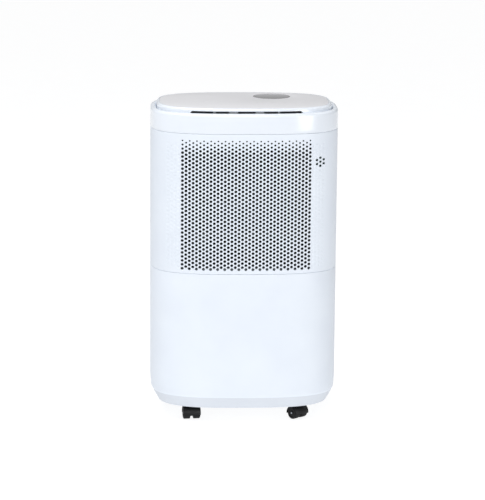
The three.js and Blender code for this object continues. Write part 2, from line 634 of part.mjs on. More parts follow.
function addCaster(name, x, y, turn) {
  const { radius, trail, wheelWidth, web } = caster;
  const group = new THREE.Group();
  group.position.set(x, y, 0);
  group.rotation.z = turn;
  dehumidifier.add(group);

  const half = web / 2 + wheelWidth + 0.8;
  const hoodRadius = radius + 1.9;
  const middle = [0, -trail, radius];
  let hood = rod('x', middle, [-half, half], hoodRadius, 20);
  hood = hood.subtract(block([-20, 20], [-30, 20], [-5, radius - 1.5]));
  const wheelSpace = rod('x', middle, [-beyond, beyond], radius + 0.7, 20).subtract(
    block([-web / 2, web / 2], everywhere, everywhere));
  hood = hood.subtract(wheelSpace);
  hood = hood.add(rod('x', middle, [-web / 2, web / 2], 5, 12));
  hood = hood.add(rod('z', [0, 0, 0], [13, level.base - gap], 7, 16).subtract(wheelSpace));
  hood = hood.add(rod('z', [0, 0, 0], [level.base - 1, level.base + 3.5], 4));
  hood = hood.subtract(rod('x', middle, [-20, 20], 1.65, 8));
  addPiece(`${name}_hood`, hood, 'blackPlastic', group);

  const pin = rod('x', [0, 0, 0], [-half + 0.6, half - 0.6], 1.5, 8);
  const axle = addPiece(`${name}_axle`, pin, 'steel', group);
  axle.position.set(...middle);

  for (const [letter, side] of [['a', -1], ['b', 1]]) {
    const low = 0;
    const high = wheelWidth;
    const profile = [[1.75, low], [radius - 1.4, low], [radius, low + 1.2], [radius, high - 1.6],
      [radius - 1.6, high], [1.75, high]];
    const wheel = addPiece(`${name}_wheel_${letter}`, turned('x', profile, 16), 'blackPlastic', group);
    wheel.position.set(side * (web / 2 + gap), -trail, radius);
    if (side < 0) wheel.rotation.z = Math.PI;
  }
}

addBasePan();
addRearShell();
addGripCups();
addRearScrews();
addUpperHousing();
addTopPlate();
addOutletGrille();
addGrilleCover();
addFilter();
addHumiditySensor();
addChassis();
addCompressor();
addRefrigerantCircuit();
addFan();
addElectrics();
addRearPorts();
addTank();
addCaster('caster_front_left', -caster.x, -caster.y, 0.1);
addCaster('caster_front_right', caster.x, -caster.y, 0.7);
addCaster('caster_rear_left', -caster.x, caster.y, 0.5);
addCaster('caster_rear_right', caster.x, caster.y, -0.3);

export default dehumidifier;
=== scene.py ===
import json
import math

import bmesh
import bpy
import numpy as np
from mathutils import Matrix, Vector


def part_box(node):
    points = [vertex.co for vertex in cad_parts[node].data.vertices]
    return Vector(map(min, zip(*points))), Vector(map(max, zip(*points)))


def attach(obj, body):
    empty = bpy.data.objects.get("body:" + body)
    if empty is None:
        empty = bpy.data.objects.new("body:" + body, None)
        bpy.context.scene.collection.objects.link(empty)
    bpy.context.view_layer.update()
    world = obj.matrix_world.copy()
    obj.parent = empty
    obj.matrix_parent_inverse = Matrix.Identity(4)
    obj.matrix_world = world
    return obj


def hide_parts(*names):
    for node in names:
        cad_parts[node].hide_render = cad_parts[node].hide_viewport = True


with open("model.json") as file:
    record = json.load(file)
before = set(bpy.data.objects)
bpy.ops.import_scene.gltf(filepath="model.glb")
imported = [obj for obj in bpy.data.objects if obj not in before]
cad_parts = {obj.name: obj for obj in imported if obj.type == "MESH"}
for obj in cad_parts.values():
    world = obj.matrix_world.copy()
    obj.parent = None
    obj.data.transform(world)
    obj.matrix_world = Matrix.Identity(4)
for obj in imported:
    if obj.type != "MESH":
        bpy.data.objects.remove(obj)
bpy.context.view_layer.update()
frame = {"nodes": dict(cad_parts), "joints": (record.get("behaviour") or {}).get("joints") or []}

# Compressor dehumidifier on casters. Shapes are worked in millimetres and stored in metres.
mm = 0.001


def boxMm(node):
    low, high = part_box(node)
    return [v / mm for v in low], [v / mm for v in high]


# shape helpers

cabinet = {
    "exponent": 3.05,  # how square the rounded outline is
    "stations": 288,
    "wall": 2.5,
    "edge": 0.55,  # softened edge along every seam
    "bevelInset": 12,
    "bevelPower": 1.14,
    "bevelTop": 47,
    "footTop": 41.5,  # the painted shade of the foot, a greyer white, starts at this height
}
ringLow, ringHigh = boxMm("upper_housing")
tankLow, tankHigh = boxMm("tank_front")
coverLow, coverHigh = boxMm("front_grille_cover")
shellLow, shellHigh = boxMm("rear_shell")
plateLow, plateHigh = boxMm("top_panel")
halfWidth, halfDepth = ringHigh[0], ringHigh[1]
ringBase = coverHigh[2] + 0.3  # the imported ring's box also holds its screw posts, which reach lower


def superEllipse(inset, angles):
    power = 2 / cabinet["exponent"]
    c, s = np.cos(angles), np.sin(angles)
    x = (halfWidth - inset) * np.sign(c) * np.abs(c) ** power
    y = (halfDepth - inset) * np.sign(s) * np.abs(s) ** power
    return np.stack([x, y], 1)


def placedAlong(points, distances):
    steps = np.linalg.norm(np.diff(points, axis=0), axis=1)
    run = np.concatenate([[0], np.cumsum(steps)])
    wanted = distances(run[-1])
    return np.stack([np.interp(wanted, run, points[:, i]) for i in (0, 1)], 1)


def outlineLoop(inset, count=None):
    count = count or cabinet["stations"]
    dense = superEllipse(inset, np.linspace(-math.pi / 2, 1.5 * math.pi, 6001))
    return placedAlong(dense, lambda length: np.arange(count) * length / count)


def outlineSpan(inset, part, count, partingY):
    lift = math.asin((partingY / (halfDepth - inset)) ** (cabinet["exponent"] / 2))
    ends = (math.pi - lift, 2 * math.pi + lift) if part == "front" else (lift, math.pi - lift)
    dense = superEllipse(inset, np.linspace(*ends, 5001))
    lead = np.array([0, 0.12, 0.3, 0.55])

    def distances(length):
        middle = np.linspace(1.2, length - 1.2, count)
        return np.concatenate([lead, middle, (length - lead)[::-1]])

    return placedAlong(dense, distances)


def softEdge(z, direction):
    r = cabinet["edge"]
    return [(z, r), (z + direction * 0.13 * r, 0.5 * r), (z + direction * 0.5 * r, 0.13 * r),
            (z + direction * r, 0)]


def bevelCurve(z):
    share = max(0, (cabinet["bevelTop"] - z) / (cabinet["bevelTop"] - tankLow[2]))
    return cabinet["bevelInset"] * share ** cabinet["bevelPower"]


def newObject(name, bm, material, body, sharpAngle=35):
    bmesh.ops.recalc_face_normals(bm, faces=bm.faces)
    mesh = bpy.data.meshes.new(name)
    bm.to_mesh(mesh)
    bm.free()
    mesh.shade_smooth()
    mesh.set_sharp_from_angle(angle=math.radians(sharpAngle))
    obj = bpy.data.objects.new(name, mesh)
    bpy.context.scene.collection.objects.link(obj)
    if material:
        mesh.materials.append(material)
    if body:
        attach(obj, body)
    return obj


def refinish(obj, material, sharpAngle):
    # after cutting: one material again, and smooth faces up to the sharp angle
    obj.data.materials.clear()
    obj.data.materials.append(material)
    obj.data.shade_smooth()
    obj.data.set_sharp_from_angle(angle=math.radians(sharpAngle))


def meshOf(points, faces):
    bm = bmesh.new()
    verts = [bm.verts.new((p[0] * mm, p[1] * mm, p[2] * mm)) for p in points]
    for face in faces:
        bm.faces.new([verts[i] for i in face])
    return bm


def loftLoops(loops, closed=True):
    # loops of equal length; closed joins the last to the first, otherwise both ends are capped
    count = len(loops[0])
    points = [p for loop in loops for p in loop]
    faces = []
    for row in range(len(loops) if closed else len(loops) - 1):
        a, b = row * count, ((row + 1) % len(loops)) * count
        for i in range(count):
            j = (i + 1) % count
            faces.append((a + i, a + j, b + j, b + i))
    if not closed:
        faces.append(tuple(range(count)))
        faces.append(tuple((len(loops) - 1) * count + i for i in range(count)))
    return meshOf(points, faces)


def ringLoop(z, inset, count=None):
    xy = outlineLoop(inset, count)
    return np.column_stack([xy, np.full(len(xy), z)])


def loftSpan(section, part, count, partingY):
    # section: closed list of (z, inset, outer) round the wall; outer points round off at both ends
    r = cabinet["edge"]
    rows = []
    for z, inset, outer in section:
        xy = outlineSpan(inset, part, count, partingY)
        if outer:
            for i in range(len(xy)):
                fromEnd = min(i, len(xy) - 1 - i)
                d = (0, 0.12, 0.3, 0.55)[fromEnd] if fromEnd < 4 else r
                if d < r:
                    shrink = r - math.sqrt(r * r - (r - d) ** 2)
                    xy[i] *= 1 - shrink / max(np.linalg.norm(xy[i]), 1)
        rows.append(np.column_stack([xy, np.full(len(xy), z)]))
    count = len(rows[0])
    points = [p for row in rows for p in row]
    faces = []
    for k in range(len(rows)):
        a, b = k * count, ((k + 1) % len(rows)) * count
        for i in range(count - 1):
            faces.append((a + i, a + i + 1, b + i + 1, b + i))
    faces.append(tuple(k * count for k in range(len(rows))))
    faces.append(tuple(k * count + count - 1 for k in range(len(rows))))
    return meshOf(points, faces)


def combine(obj, other, operation):
    modifier = obj.modifiers.new("cut", "BOOLEAN")
    modifier.operation, modifier.object, modifier.solver = operation, other, "EXACT"
    graph = bpy.context.evaluated_depsgraph_get()
    mesh = bpy.data.meshes.new_from_object(obj.evaluated_get(graph))
    obj.modifiers.clear()
    old, obj.data = obj.data, mesh
    mesh.name = old.name
    bpy.data.meshes.remove(old)
    bpy.data.objects.remove(other)
    return obj


def roundedOutline(a, b, radius, steps=7):
    # counter-clockwise corners of a rectangle a[0]..a[1] by b[0]..b[1]
    corners = [(a[1] - radius, b[1] - radius, 0), (a[0] + radius, b[1] - radius, 90),
               (a[0] + radius, b[0] + radius, 180), (a[1] - radius, b[0] + radius, 270)]
    points = []
    for x, y, start in corners:
        for i in range(steps + 1):
            angle = math.radians(start + 90 * i / steps)
            points.append((x + radius * math.cos(angle), y + radius * math.sin(angle)))
    return points


def along(axis, u, v, t):
    return {"x": (t, u, v), "y": (u, t, v), "z": (u, v, t)}[axis]


def prismPart(outline, axis, low, high):
    loops = [[along(axis, u, v, t) for u, v in outline] for t in (low, high)]
    return newObject("part", loftLoops(loops, closed=False), None, None)


def latheBm(profile, segments, axis, centre):
    # profile of (radius, height); a radius of 0 at an end closes it with one point
    bm = bmesh.new()
    rings = []
    for radius, height in profile:
        if radius == 0:
            p = Vector(along(axis, 0, 0, height)) + Vector(centre)
            rings.append([bm.verts.new(p * mm)])
            continue
        ring = []
        for i in range(segments):
            angle = 2 * math.pi * i / segments
            p = Vector(along(axis, radius * math.cos(angle), radius * math.sin(angle),
                             height)) + Vector(centre)
            ring.append(bm.verts.new(p * mm))
        rings.append(ring)
    closed = len(rings[0]) > 1
    for k in range(len(rings) if closed else len(rings) - 1):
        a, b = rings[k], rings[(k + 1) % len(rings)]
        for i in range(segments):
            j = (i + 1) % segments
            corners = [a[i % len(a)], a[j % len(a)], b[j % len(b)], b[i % len(b)]]
            corners = list(dict.fromkeys(corners))
            if len(corners) > 2:
                bm.faces.new(corners)
    return bm


def addBlock(bm, x, y, z, bevel=0):
    cube = bmesh.ops.create_cube(bm, size=1)["verts"]
    for v in cube:
        v.co = Vector((x[v.co.x > 0], y[v.co.y > 0], z[v.co.z > 0])) * mm
    if bevel:
        edges = list({e for v in cube for e in v.link_edges})
        bmesh.ops.bevel(bm, geom=edges, offset=bevel * mm, segments=2, affect="EDGES", profile=0.5)
    return bm


# material helpers

def hexLinear(code):
    channels = [int(code[i:i + 2], 16) / 255 for i in (1, 3, 5)]
    return tuple(c / 12.92 if c <= 0.04045 else ((c + 0.055) / 1.055) ** 2.4 for c in channels) + (1,)


def addNode(tree, kind, settings=None, links=None):
    node = tree.nodes.new(kind)
    for key, value in (settings or {}).items():
        if isinstance(key, int) or key in node.inputs:
            node.inputs[key].default_value = value
        else:
            setattr(node, key, value)
    for key, source in (links or {}).items():
        tree.links.new(source, node.inputs[key])
    return node


def startMaterial(name):
    material = bpy.data.materials.new(name)
    material.use_nodes = True
    material.node_tree.nodes.clear()
    tree = material.node_tree
    place = addNode(tree, "ShaderNodeTexCoord").outputs["Object"]
    return material, tree, place


def finishMaterial(tree, shader):
    addNode(tree, "ShaderNodeOutputMaterial", links={"Surface": shader.outputs[0]})


def setRamp(node, stops):
    ramp = node.color_ramp
    while len(ramp.elements) > 1:
        ramp.elements.remove(ramp.elements[-1])
    ramp.elements[0].position, ramp.elements[0].color = stops[0]
    for position, colour in stops[1:]:
        ramp.elements.new(position).color = colour
    return node


def mouldedPlastic(name, look):
    # moulded plastic: a cloudy body colour, a spark-eroded grain and a roughness that wanders a little
    material, tree, place = startMaterial(name)
    cloud = addNode(tree, "ShaderNodeTexNoise", {"Scale": 1000 / look["cloudMm"], "Detail": 3},
                    {"Vector": place})
    colour = setRamp(addNode(tree, "ShaderNodeValToRGB", links={"Fac": cloud.outputs["Fac"]}),
                     [(0.3, hexLinear(look["dark"])), (0.7, hexLinear(look["light"]))])
    grain = addNode(tree, "ShaderNodeTexNoise", {"Scale": 1000 / look["grainMm"], "Detail": 4,
                                                 "Roughness": 0.6},
                    {"Vector": place})
    rough = addNode(tree, "ShaderNodeMapRange", {"From Min": 0.3, "From Max": 0.7, "To Min": look["rough"][0],
                    "To Max": look["rough"][1]}, {"Value": grain.outputs["Fac"]})
    bump = addNode(tree, "ShaderNodeBump", {"Strength": look.get("bump", 0.4),
                                            "Distance": look["depthMm"] * mm},
                   {"Height": grain.outputs["Fac"]})
    shader = addNode(tree, "ShaderNodeBsdfPrincipled", {"IOR": look.get("ior", 1.5),
                     "Specular IOR Level": look.get("specular", 0.5), "Coat Weight": look.get("coat", 0.0),
                     "Coat Roughness": look.get("coatRough", 0.2)},
                     {"Base Color": colour.outputs[0], "Roughness": rough.outputs[0],
                      "Normal": bump.outputs[0]})
    finishMaterial(tree, shader)
    return material


def metalSurface(name, look):
    # metal: colour drifting with thin oxide, and drawn or rolled lines stretched along one axis
    material, tree, place = startMaterial(name)
    stretch = addNode(tree, "ShaderNodeMapping", {"Scale": look["stretch"]}, {"Vector": place})
    lines = addNode(tree, "ShaderNodeTexNoise", {"Scale": 1000 / look["lineMm"], "Detail": 3},
                    {"Vector": stretch.outputs[0]})
    oxide = addNode(tree, "ShaderNodeTexNoise", {"Scale": 1000 / look["oxideMm"], "Detail": 5,
                                                 "Roughness": 0.7},
                    {"Vector": place})
    colour = setRamp(addNode(tree, "ShaderNodeValToRGB", links={"Fac": oxide.outputs["Fac"]}),
                     [(0.35, hexLinear(look["dark"])), (0.65, hexLinear(look["light"]))])
    rough = addNode(tree, "ShaderNodeMapRange", {"From Min": 0.3, "From Max": 0.7, "To Min": look["rough"][0],
                    "To Max": look["rough"][1]}, {"Value": lines.outputs["Fac"]})
    bump = addNode(tree, "ShaderNodeBump", {"Strength": 0.3, "Distance": 0.02 * mm},
                   {"Height": lines.outputs["Fac"]})
    shader = addNode(tree, "ShaderNodeBsdfPrincipled", {"Metallic": look.get("metallic", 1.0)},
                     {"Base Color": colour.outputs[0], "Roughness": rough.outputs[0],
                      "Normal": bump.outputs[0]})
    finishMaterial(tree, shader)
    return material


# white ABS, moulded in a spark-eroded tool: an even cool white with a satin bloom and no clear reflections
# the real grain is about 0.1 mm; it is drawn 1.2 mm so that it doesn't vanish
whiteAbs = mouldedPlastic("absMouldedWhiteSatin", {
    "dark": "#e4ebf5", "light": "#e8eff8", "cloudMm": 60, "grainMm": 1.2, "depthMm": 0.012, "rough": (0.44,
            0.52)})

# stand-in for shade on the undercut foot: the same white ABS one step greyer, as the lit floor leaves no shade there
# the plastic itself is not known to differ
whiteAbsPaintedFootShade = mouldedPlastic("absWhitePaintedFootShade", {
    "dark": "#d4dae3", "light": "#d8dee6", "cloudMm": 60, "grainMm": 1.6, "depthMm": 0.016, "rough": (0.5,
            0.58)})

# the same white ABS, shinier, for the upper ring and plate rim: bright bands on its corners
# its base white is a little lighter than the casing's: painted light
whiteAbsPolishedPaintedLight = mouldedPlastic("absWhitePolishedPaintedLight", {
    "dark": "#e8eef7", "light": "#ebf1f9", "cloudMm": 80, "grainMm": 2.5, "depthMm": 0.004, "rough": (0.22,
            0.27),
    "coat": 0.2, "coatRough": 0.18})

# light grey polypropylene, moulded: dull and slightly waxy, for inner and under parts
greyPolypropylene = mouldedPlastic("polypropyleneMouldedGrey", {
    "dark": "#8f959c", "light": "#a2a8ae", "cloudMm": 35, "grainMm": 1.0, "depthMm": 0.02, "rough": (0.5,
            0.62)})

# white ABS of the hand grips, a shade duller than the casing: painted shade, so that the recess reads
gripAbsPaintedShade = mouldedPlastic("absGripWhitePaintedShade", {
    "dark": "#dfe4ea", "light": "#e6eaf0", "cloudMm": 40, "grainMm": 1.6, "depthMm": 0.03, "rough": (0.48,
            0.58)})

# black glass-filled nylon of the casters: charcoal, with a grey bloom from the fibres and a soft sheen
blackNylon = mouldedPlastic("nylonMouldedBlack", {
    "dark": "#0a0b0c", "light": "#0f1012", "cloudMm": 6, "grainMm": 0.8, "depthMm": 0.03, "rough": (0.42,
            0.55),
    "specular": 0.25})

# polyurethane tread of the caster wheels: softer and duller than the hub
treadUrethane = mouldedPlastic("urethaneCastGrey", {
    "dark": "#0e0f11", "light": "#141517", "cloudMm": 4, "grainMm": 0.7, "depthMm": 0.04, "rough": (0.6,
            0.72),
    "specular": 0.25})

# black ABS of vanes, boxes and glands: near black and satin
blackAbs = mouldedPlastic("absMouldedBlack", {
    "dark": "#141517", "light": "#1c1d20", "cloudMm": 20, "grainMm": 0.9, "depthMm": 0.02, "rough": (0.4,
            0.52)})

# mid grey ABS of the outlet vanes, seen in the shade of the slot: the grey is painted shade, and the vanes' own
# colour is not known
vanePaintedShadeGrey = mouldedPlastic("absVanePaintedShadeGrey", {
    "dark": "#8b8e92", "light": "#96999d", "cloudMm": 20, "grainMm": 0.9, "depthMm": 0.02, "rough": (0.45,
            0.55)})

# stoved enamel on the pressed steel shells: glossy black with a faint orange peel, 3 mm apart
blackEnamel = mouldedPlastic("enamelStovedBlack", {
    "dark": "#101113", "light": "#17181a", "cloudMm": 45, "grainMm": 3.0, "depthMm": 0.05, "rough": (0.16,
            0.24),
    "coat": 0.5, "coatRough": 0.08})

# nitrile rubber, compression moulded: matt black with a dusty grey bloom
nitrileRubber = mouldedPlastic("nitrileRubberMoulded", {
    "dark": "#1c1c1d", "light": "#2a2a2b", "cloudMm": 5, "grainMm": 0.6, "depthMm": 0.05, "rough": (0.75,
            0.9)})

# rolled aluminium foil of the fins: bright, with fine vertical rolling lines
aluminiumFoil = metalSurface("aluminiumRolled", {
    "dark": "#b9bdc2", "light": "#d3d6da", "oxideMm": 25, "lineMm": 0.8, "stretch": (1, 1, 0.05),
    "rough": (0.28, 0.42)})

# drawn copper tube: warm, with brown oxide in patches
copperTube = metalSurface("copperDrawn", {
    "dark": "#9c5c36", "light": "#cf8a5c", "oxideMm": 14, "lineMm": 0.9, "stretch": (1, 1, 0.2),
    "rough": (0.22, 0.4)})

# zinc-plated steel: grey-blue, with a cloudy passivated bloom
zincSteel = metalSurface("steelZincPlated", {
    "dark": "#8d939b", "light": "#b4b9c0", "oxideMm": 5, "lineMm": 0.4, "stretch": (1, 0.1, 1),
    "rough": (0.25, 0.4)})


def makeSilverInlay():
    # ABS sprayed with fine silver paint: matt warm grey in which small flakes sparkle a little
    # flakes are about 0.05 mm; they are drawn 0.9 mm to show at all
    material, tree, place = startMaterial("absSprayedSilver")
    flakes = addNode(tree, "ShaderNodeTexVoronoi", {"Scale": 1000 / 0.9}, {"Vector": place})
    spread = addNode(tree, "ShaderNodeTexNoise", {"Scale": 1000 / 70, "Detail": 2}, {"Vector": place})
    flakeTone = setRamp(addNode(tree, "ShaderNodeValToRGB", links={"Fac": flakes.outputs["Color"]}),
                        [(0.0, hexLinear("#e2e2e5")), (1.0, hexLinear("#ececef"))])
    bodyTone = setRamp(addNode(tree, "ShaderNodeValToRGB", links={"Fac": spread.outputs["Fac"]}),
                       [(0.35, hexLinear("#e4e4e7")), (0.65, hexLinear("#e8e8eb"))])
    colour = addNode(tree, "ShaderNodeMix", {"data_type": "RGBA", 0: 0.5}, {6: bodyTone.outputs[0],
            7: flakeTone.outputs[0]})
    bump = addNode(tree, "ShaderNodeBump", {"Strength": 0.25, "Distance": 0.008 * mm},
                   {"Height": flakes.outputs["Distance"]})
    rough = addNode(tree, "ShaderNodeMapRange", {"To Min": 0.42, "To Max": 0.55},
                    {"Value": flakes.outputs["Color"]})
    shader = addNode(tree, "ShaderNodeBsdfPrincipled", {"Metallic": 0.25, "IOR": 1.5},
                     {"Base Color": colour.outputs[2], "Roughness": rough.outputs[0],
                      "Normal": bump.outputs[0]})
    finishMaterial(tree, shader)
    return material


def makeSmokedLens():
    # smoked acrylic over a grey film, polished: glossy, with faint wipe marks in the gloss
    # the paler back is a stand-in for a reflection
    material, tree, place = startMaterial("acrylicSmokedPolished")
    stretch = addNode(tree, "ShaderNodeMapping", {"Scale": (1, 0.15, 1)}, {"Vector": place})
    wipes = addNode(tree, "ShaderNodeTexNoise", {"Scale": 1000 / 6, "Detail": 5},
                    {"Vector": stretch.outputs[0]})
    rough = addNode(tree, "ShaderNodeMapRange", {"From Min": 0.35, "From Max": 0.65, "To Min": 0.08,
                                                 "To Max": 0.16},
                    {"Value": wipes.outputs["Fac"]})
    parts = addNode(tree, "ShaderNodeSeparateXYZ", links={"Vector": place})
    low, high = boxMm("display_lens")
    # painted reflection: the lens colour runs from dark at the front to pale at the back along Y
    paintedReflectionRamp = addNode(tree, "ShaderNodeMapRange", {"From Min": low[1] * mm, "From Max": high[1] * mm},
                   {"Value": parts.outputs["Y"]})
    colour = setRamp(addNode(tree, "ShaderNodeValToRGB", links={"Fac": paintedReflectionRamp.outputs[0]}),
                     [(0.0, hexLinear("#505054")), (1.0, hexLinear("#bcbcc0"))])
    shader = addNode(tree, "ShaderNodeBsdfPrincipled", {"IOR": 1.49, "Coat Weight": 0.6,
                                                        "Coat Roughness": 0.05},
                     {"Base Color": colour.outputs[0], "Roughness": rough.outputs[0]})
    finishMaterial(tree, shader)
    return material


def makeTankStyrene():
    # clear polystyrene, moulded with a light frost: bluish, half see-through, brighter at its edges
    material, tree, place = startMaterial("styreneMouldedFrosted")
    frost = addNode(tree, "ShaderNodeTexNoise", {"Scale": 1000 / 1.5, "Detail": 4}, {"Vector": place})
    rough = addNode(tree, "ShaderNodeMapRange", {"From Min": 0.3, "From Max": 0.7, "To Min": 0.18,
                                                 "To Max": 0.32},
                    {"Value": frost.outputs["Fac"]})
    bump = addNode(tree, "ShaderNodeBump", {"Strength": 0.3, "Distance": 0.02 * mm},
                   {"Height": frost.outputs["Fac"]})
    tint = setRamp(addNode(tree, "ShaderNodeValToRGB", links={"Fac": frost.outputs["Fac"]}),
                   [(0.2, hexLinear("#c6dae8")), (0.8, hexLinear("#dbe8f1"))])
    shader = addNode(tree, "ShaderNodeBsdfPrincipled", {"IOR": 1.59, "Transmission Weight": 0.7},
                     {"Base Color": tint.outputs[0], "Roughness": rough.outputs[0],
                      "Normal": bump.outputs[0]})
    finishMaterial(tree, shader)
    return material


def makeFilterWeave():
    # woven polyester filter cloth, dyed black: the threads are 0.25 mm; drawn 1.6 mm apart so the weave shows
    material, tree, place = startMaterial("polyesterWovenBlack")
    warp = addNode(tree, "ShaderNodeTexWave", {"wave_type": "BANDS", "bands_direction": "X",
                                               "Scale": 1000 / 1.6 / 6.28},
                   {"Vector": place})
    weft = addNode(tree, "ShaderNodeTexWave", {"wave_type": "BANDS", "bands_direction": "Z",
                                               "Scale": 1000 / 1.6 / 6.28},
                   {"Vector": place})
    threads = addNode(tree, "ShaderNodeMath", {"operation": "MAXIMUM"}, {0: warp.outputs["Fac"],
            1: weft.outputs["Fac"]})
    colour = setRamp(addNode(tree, "ShaderNodeValToRGB", links={"Fac": threads.outputs[0]}),
                     [(0.2, hexLinear("#040405")), (0.9, hexLinear("#1b1c1f"))])
    bump = addNode(tree, "ShaderNodeBump", {"Strength": 0.8, "Distance": 0.15 * mm},
                   {"Height": threads.outputs[0]})
    shader = addNode(tree, "ShaderNodeBsdfPrincipled", {"Roughness": 0.8, "Sheen Weight": 0.1},
                     {"Base Color": colour.outputs[0], "Normal": bump.outputs[0]})
    finishMaterial(tree, shader)
    return material


def makeBoardLaminate():
    # glass-fibre board under green solder mask: copper tracks 1.2 mm apart show as raised lighter lines
    material, tree, place = startMaterial("fibreglassSolderMask")
    tracks = addNode(tree, "ShaderNodeTexBrick", {"Scale": 1000 / 8, "Mortar Size": 0.03, "Row Height": 0.15,
                     "Color1": hexLinear("#12301f"), "Color2": hexLinear("#153623"),
                     "Mortar": hexLinear("#35604a")},
                     {"Vector": place})
    bump = addNode(tree, "ShaderNodeBump", {"Strength": 0.4, "Distance": 0.04 * mm},
                   {"Height": tracks.outputs["Fac"]})
    shader = addNode(tree, "ShaderNodeBsdfPrincipled", {"Roughness": 0.35, "Coat Weight": 0.3},
                     {"Base Color": tracks.outputs["Color"], "Normal": bump.outputs[0]})
    finishMaterial(tree, shader)
    return material


def makeFloatFoam():
    # expanded polystyrene, steam moulded: white beads 3 mm across with fine dark joints
    material, tree, place = startMaterial("polystyreneFoamed")
    beads = addNode(tree, "ShaderNodeTexVoronoi", {"feature": "DISTANCE_TO_EDGE", "Scale": 1000 / 3},
                    {"Vector": place})
    colour = setRamp(addNode(tree, "ShaderNodeValToRGB", links={"Fac": beads.outputs["Distance"]}),
                     [(0.0, hexLinear("#cfcec8")), (0.08, hexLinear("#f1f1ec"))])
    bump = addNode(tree, "ShaderNodeBump", {"Strength": 0.6, "Distance": 0.2 * mm},
                   {"Height": beads.outputs["Distance"]})
    shader = addNode(tree, "ShaderNodeBsdfPrincipled", {"Roughness": 0.9, "Subsurface Weight": 0.1,
                     "Subsurface Scale": 0.002}, {"Base Color": colour.outputs[0], "Normal": bump.outputs[0]})
    finishMaterial(tree, shader)
    return material


silverInlay = makeSilverInlay()
smokedLens = makeSmokedLens()
tankStyrene = makeTankStyrene()
filterWeave = makeFilterWeave()
boardLaminate = makeBoardLaminate()
floatFoam = makeFloatFoam()
print("materials made")


# pull-off grille cover: a wrapped wall with a hexagonal field of round holes

grilleCover = {
    "pitch": 5.41, "rowPitch": 6.2, "topRow": 443.1, "rows": 33,
    "holeColumns": 18,  # columns either side of the middle with open holes
    "edgeColumns": 22,  # shallow dimples carry the pattern on round the corner
    "hole": 4.6,
    "growing": {0: 2.6, 0.5: 3.0, 1: 3.4, 1.5: 3.7, 2: 4.0, 2.5: 4.3},  # holes shrink towards the top
    "lip": 0.18,  # softened mouth of each hole
    "dimple": 3.0, "dimpleDepth": 0.45, "dimpleSpan": (247, 437),
    "sensorHole": 4.0, "sensorCentre": (21, 409),
    "sideStations": 36,
}


def wallStations():
    # outer and inner wall places, left parting to right parting, with the grid columns in the middle
    g = grilleCover
    n = cabinet["exponent"]
    edgeX = g["pitch"] * (g["edgeColumns"] + 0.5)
    gridX = np.linspace(-edgeX, edgeX, 4 * (2 * g["edgeColumns"] + 1) + 1)
    surfaces = []
    for inset in (0, cabinet["wall"]):
        a, b = halfWidth - inset, halfDepth - inset
        gridY = -b * (1 - np.abs(gridX / a) ** n) ** (1 / n)
        lift = math.asin((coverHigh[1] / b) ** (n / 2))
        start = math.atan2(-abs(gridY[-1] / b) ** (n / 2), abs(gridX[-1] / a) ** (n / 2))
        side = superEllipse(inset, np.linspace(start, lift, 3001))
        lead = np.array([0.55, 0.3, 0.12, 0])
        side = placedAlong(side, lambda length: np.concatenate(
            [np.linspace(0, length - 1.2, g["sideStations"] + 1)[1:], length - lead]))
        left = side[::-1] * (-1, 1)
        surfaces.append(np.vstack([left, np.column_stack([gridX, gridY]), side]))
    return surfaces, len(left), len(gridX)


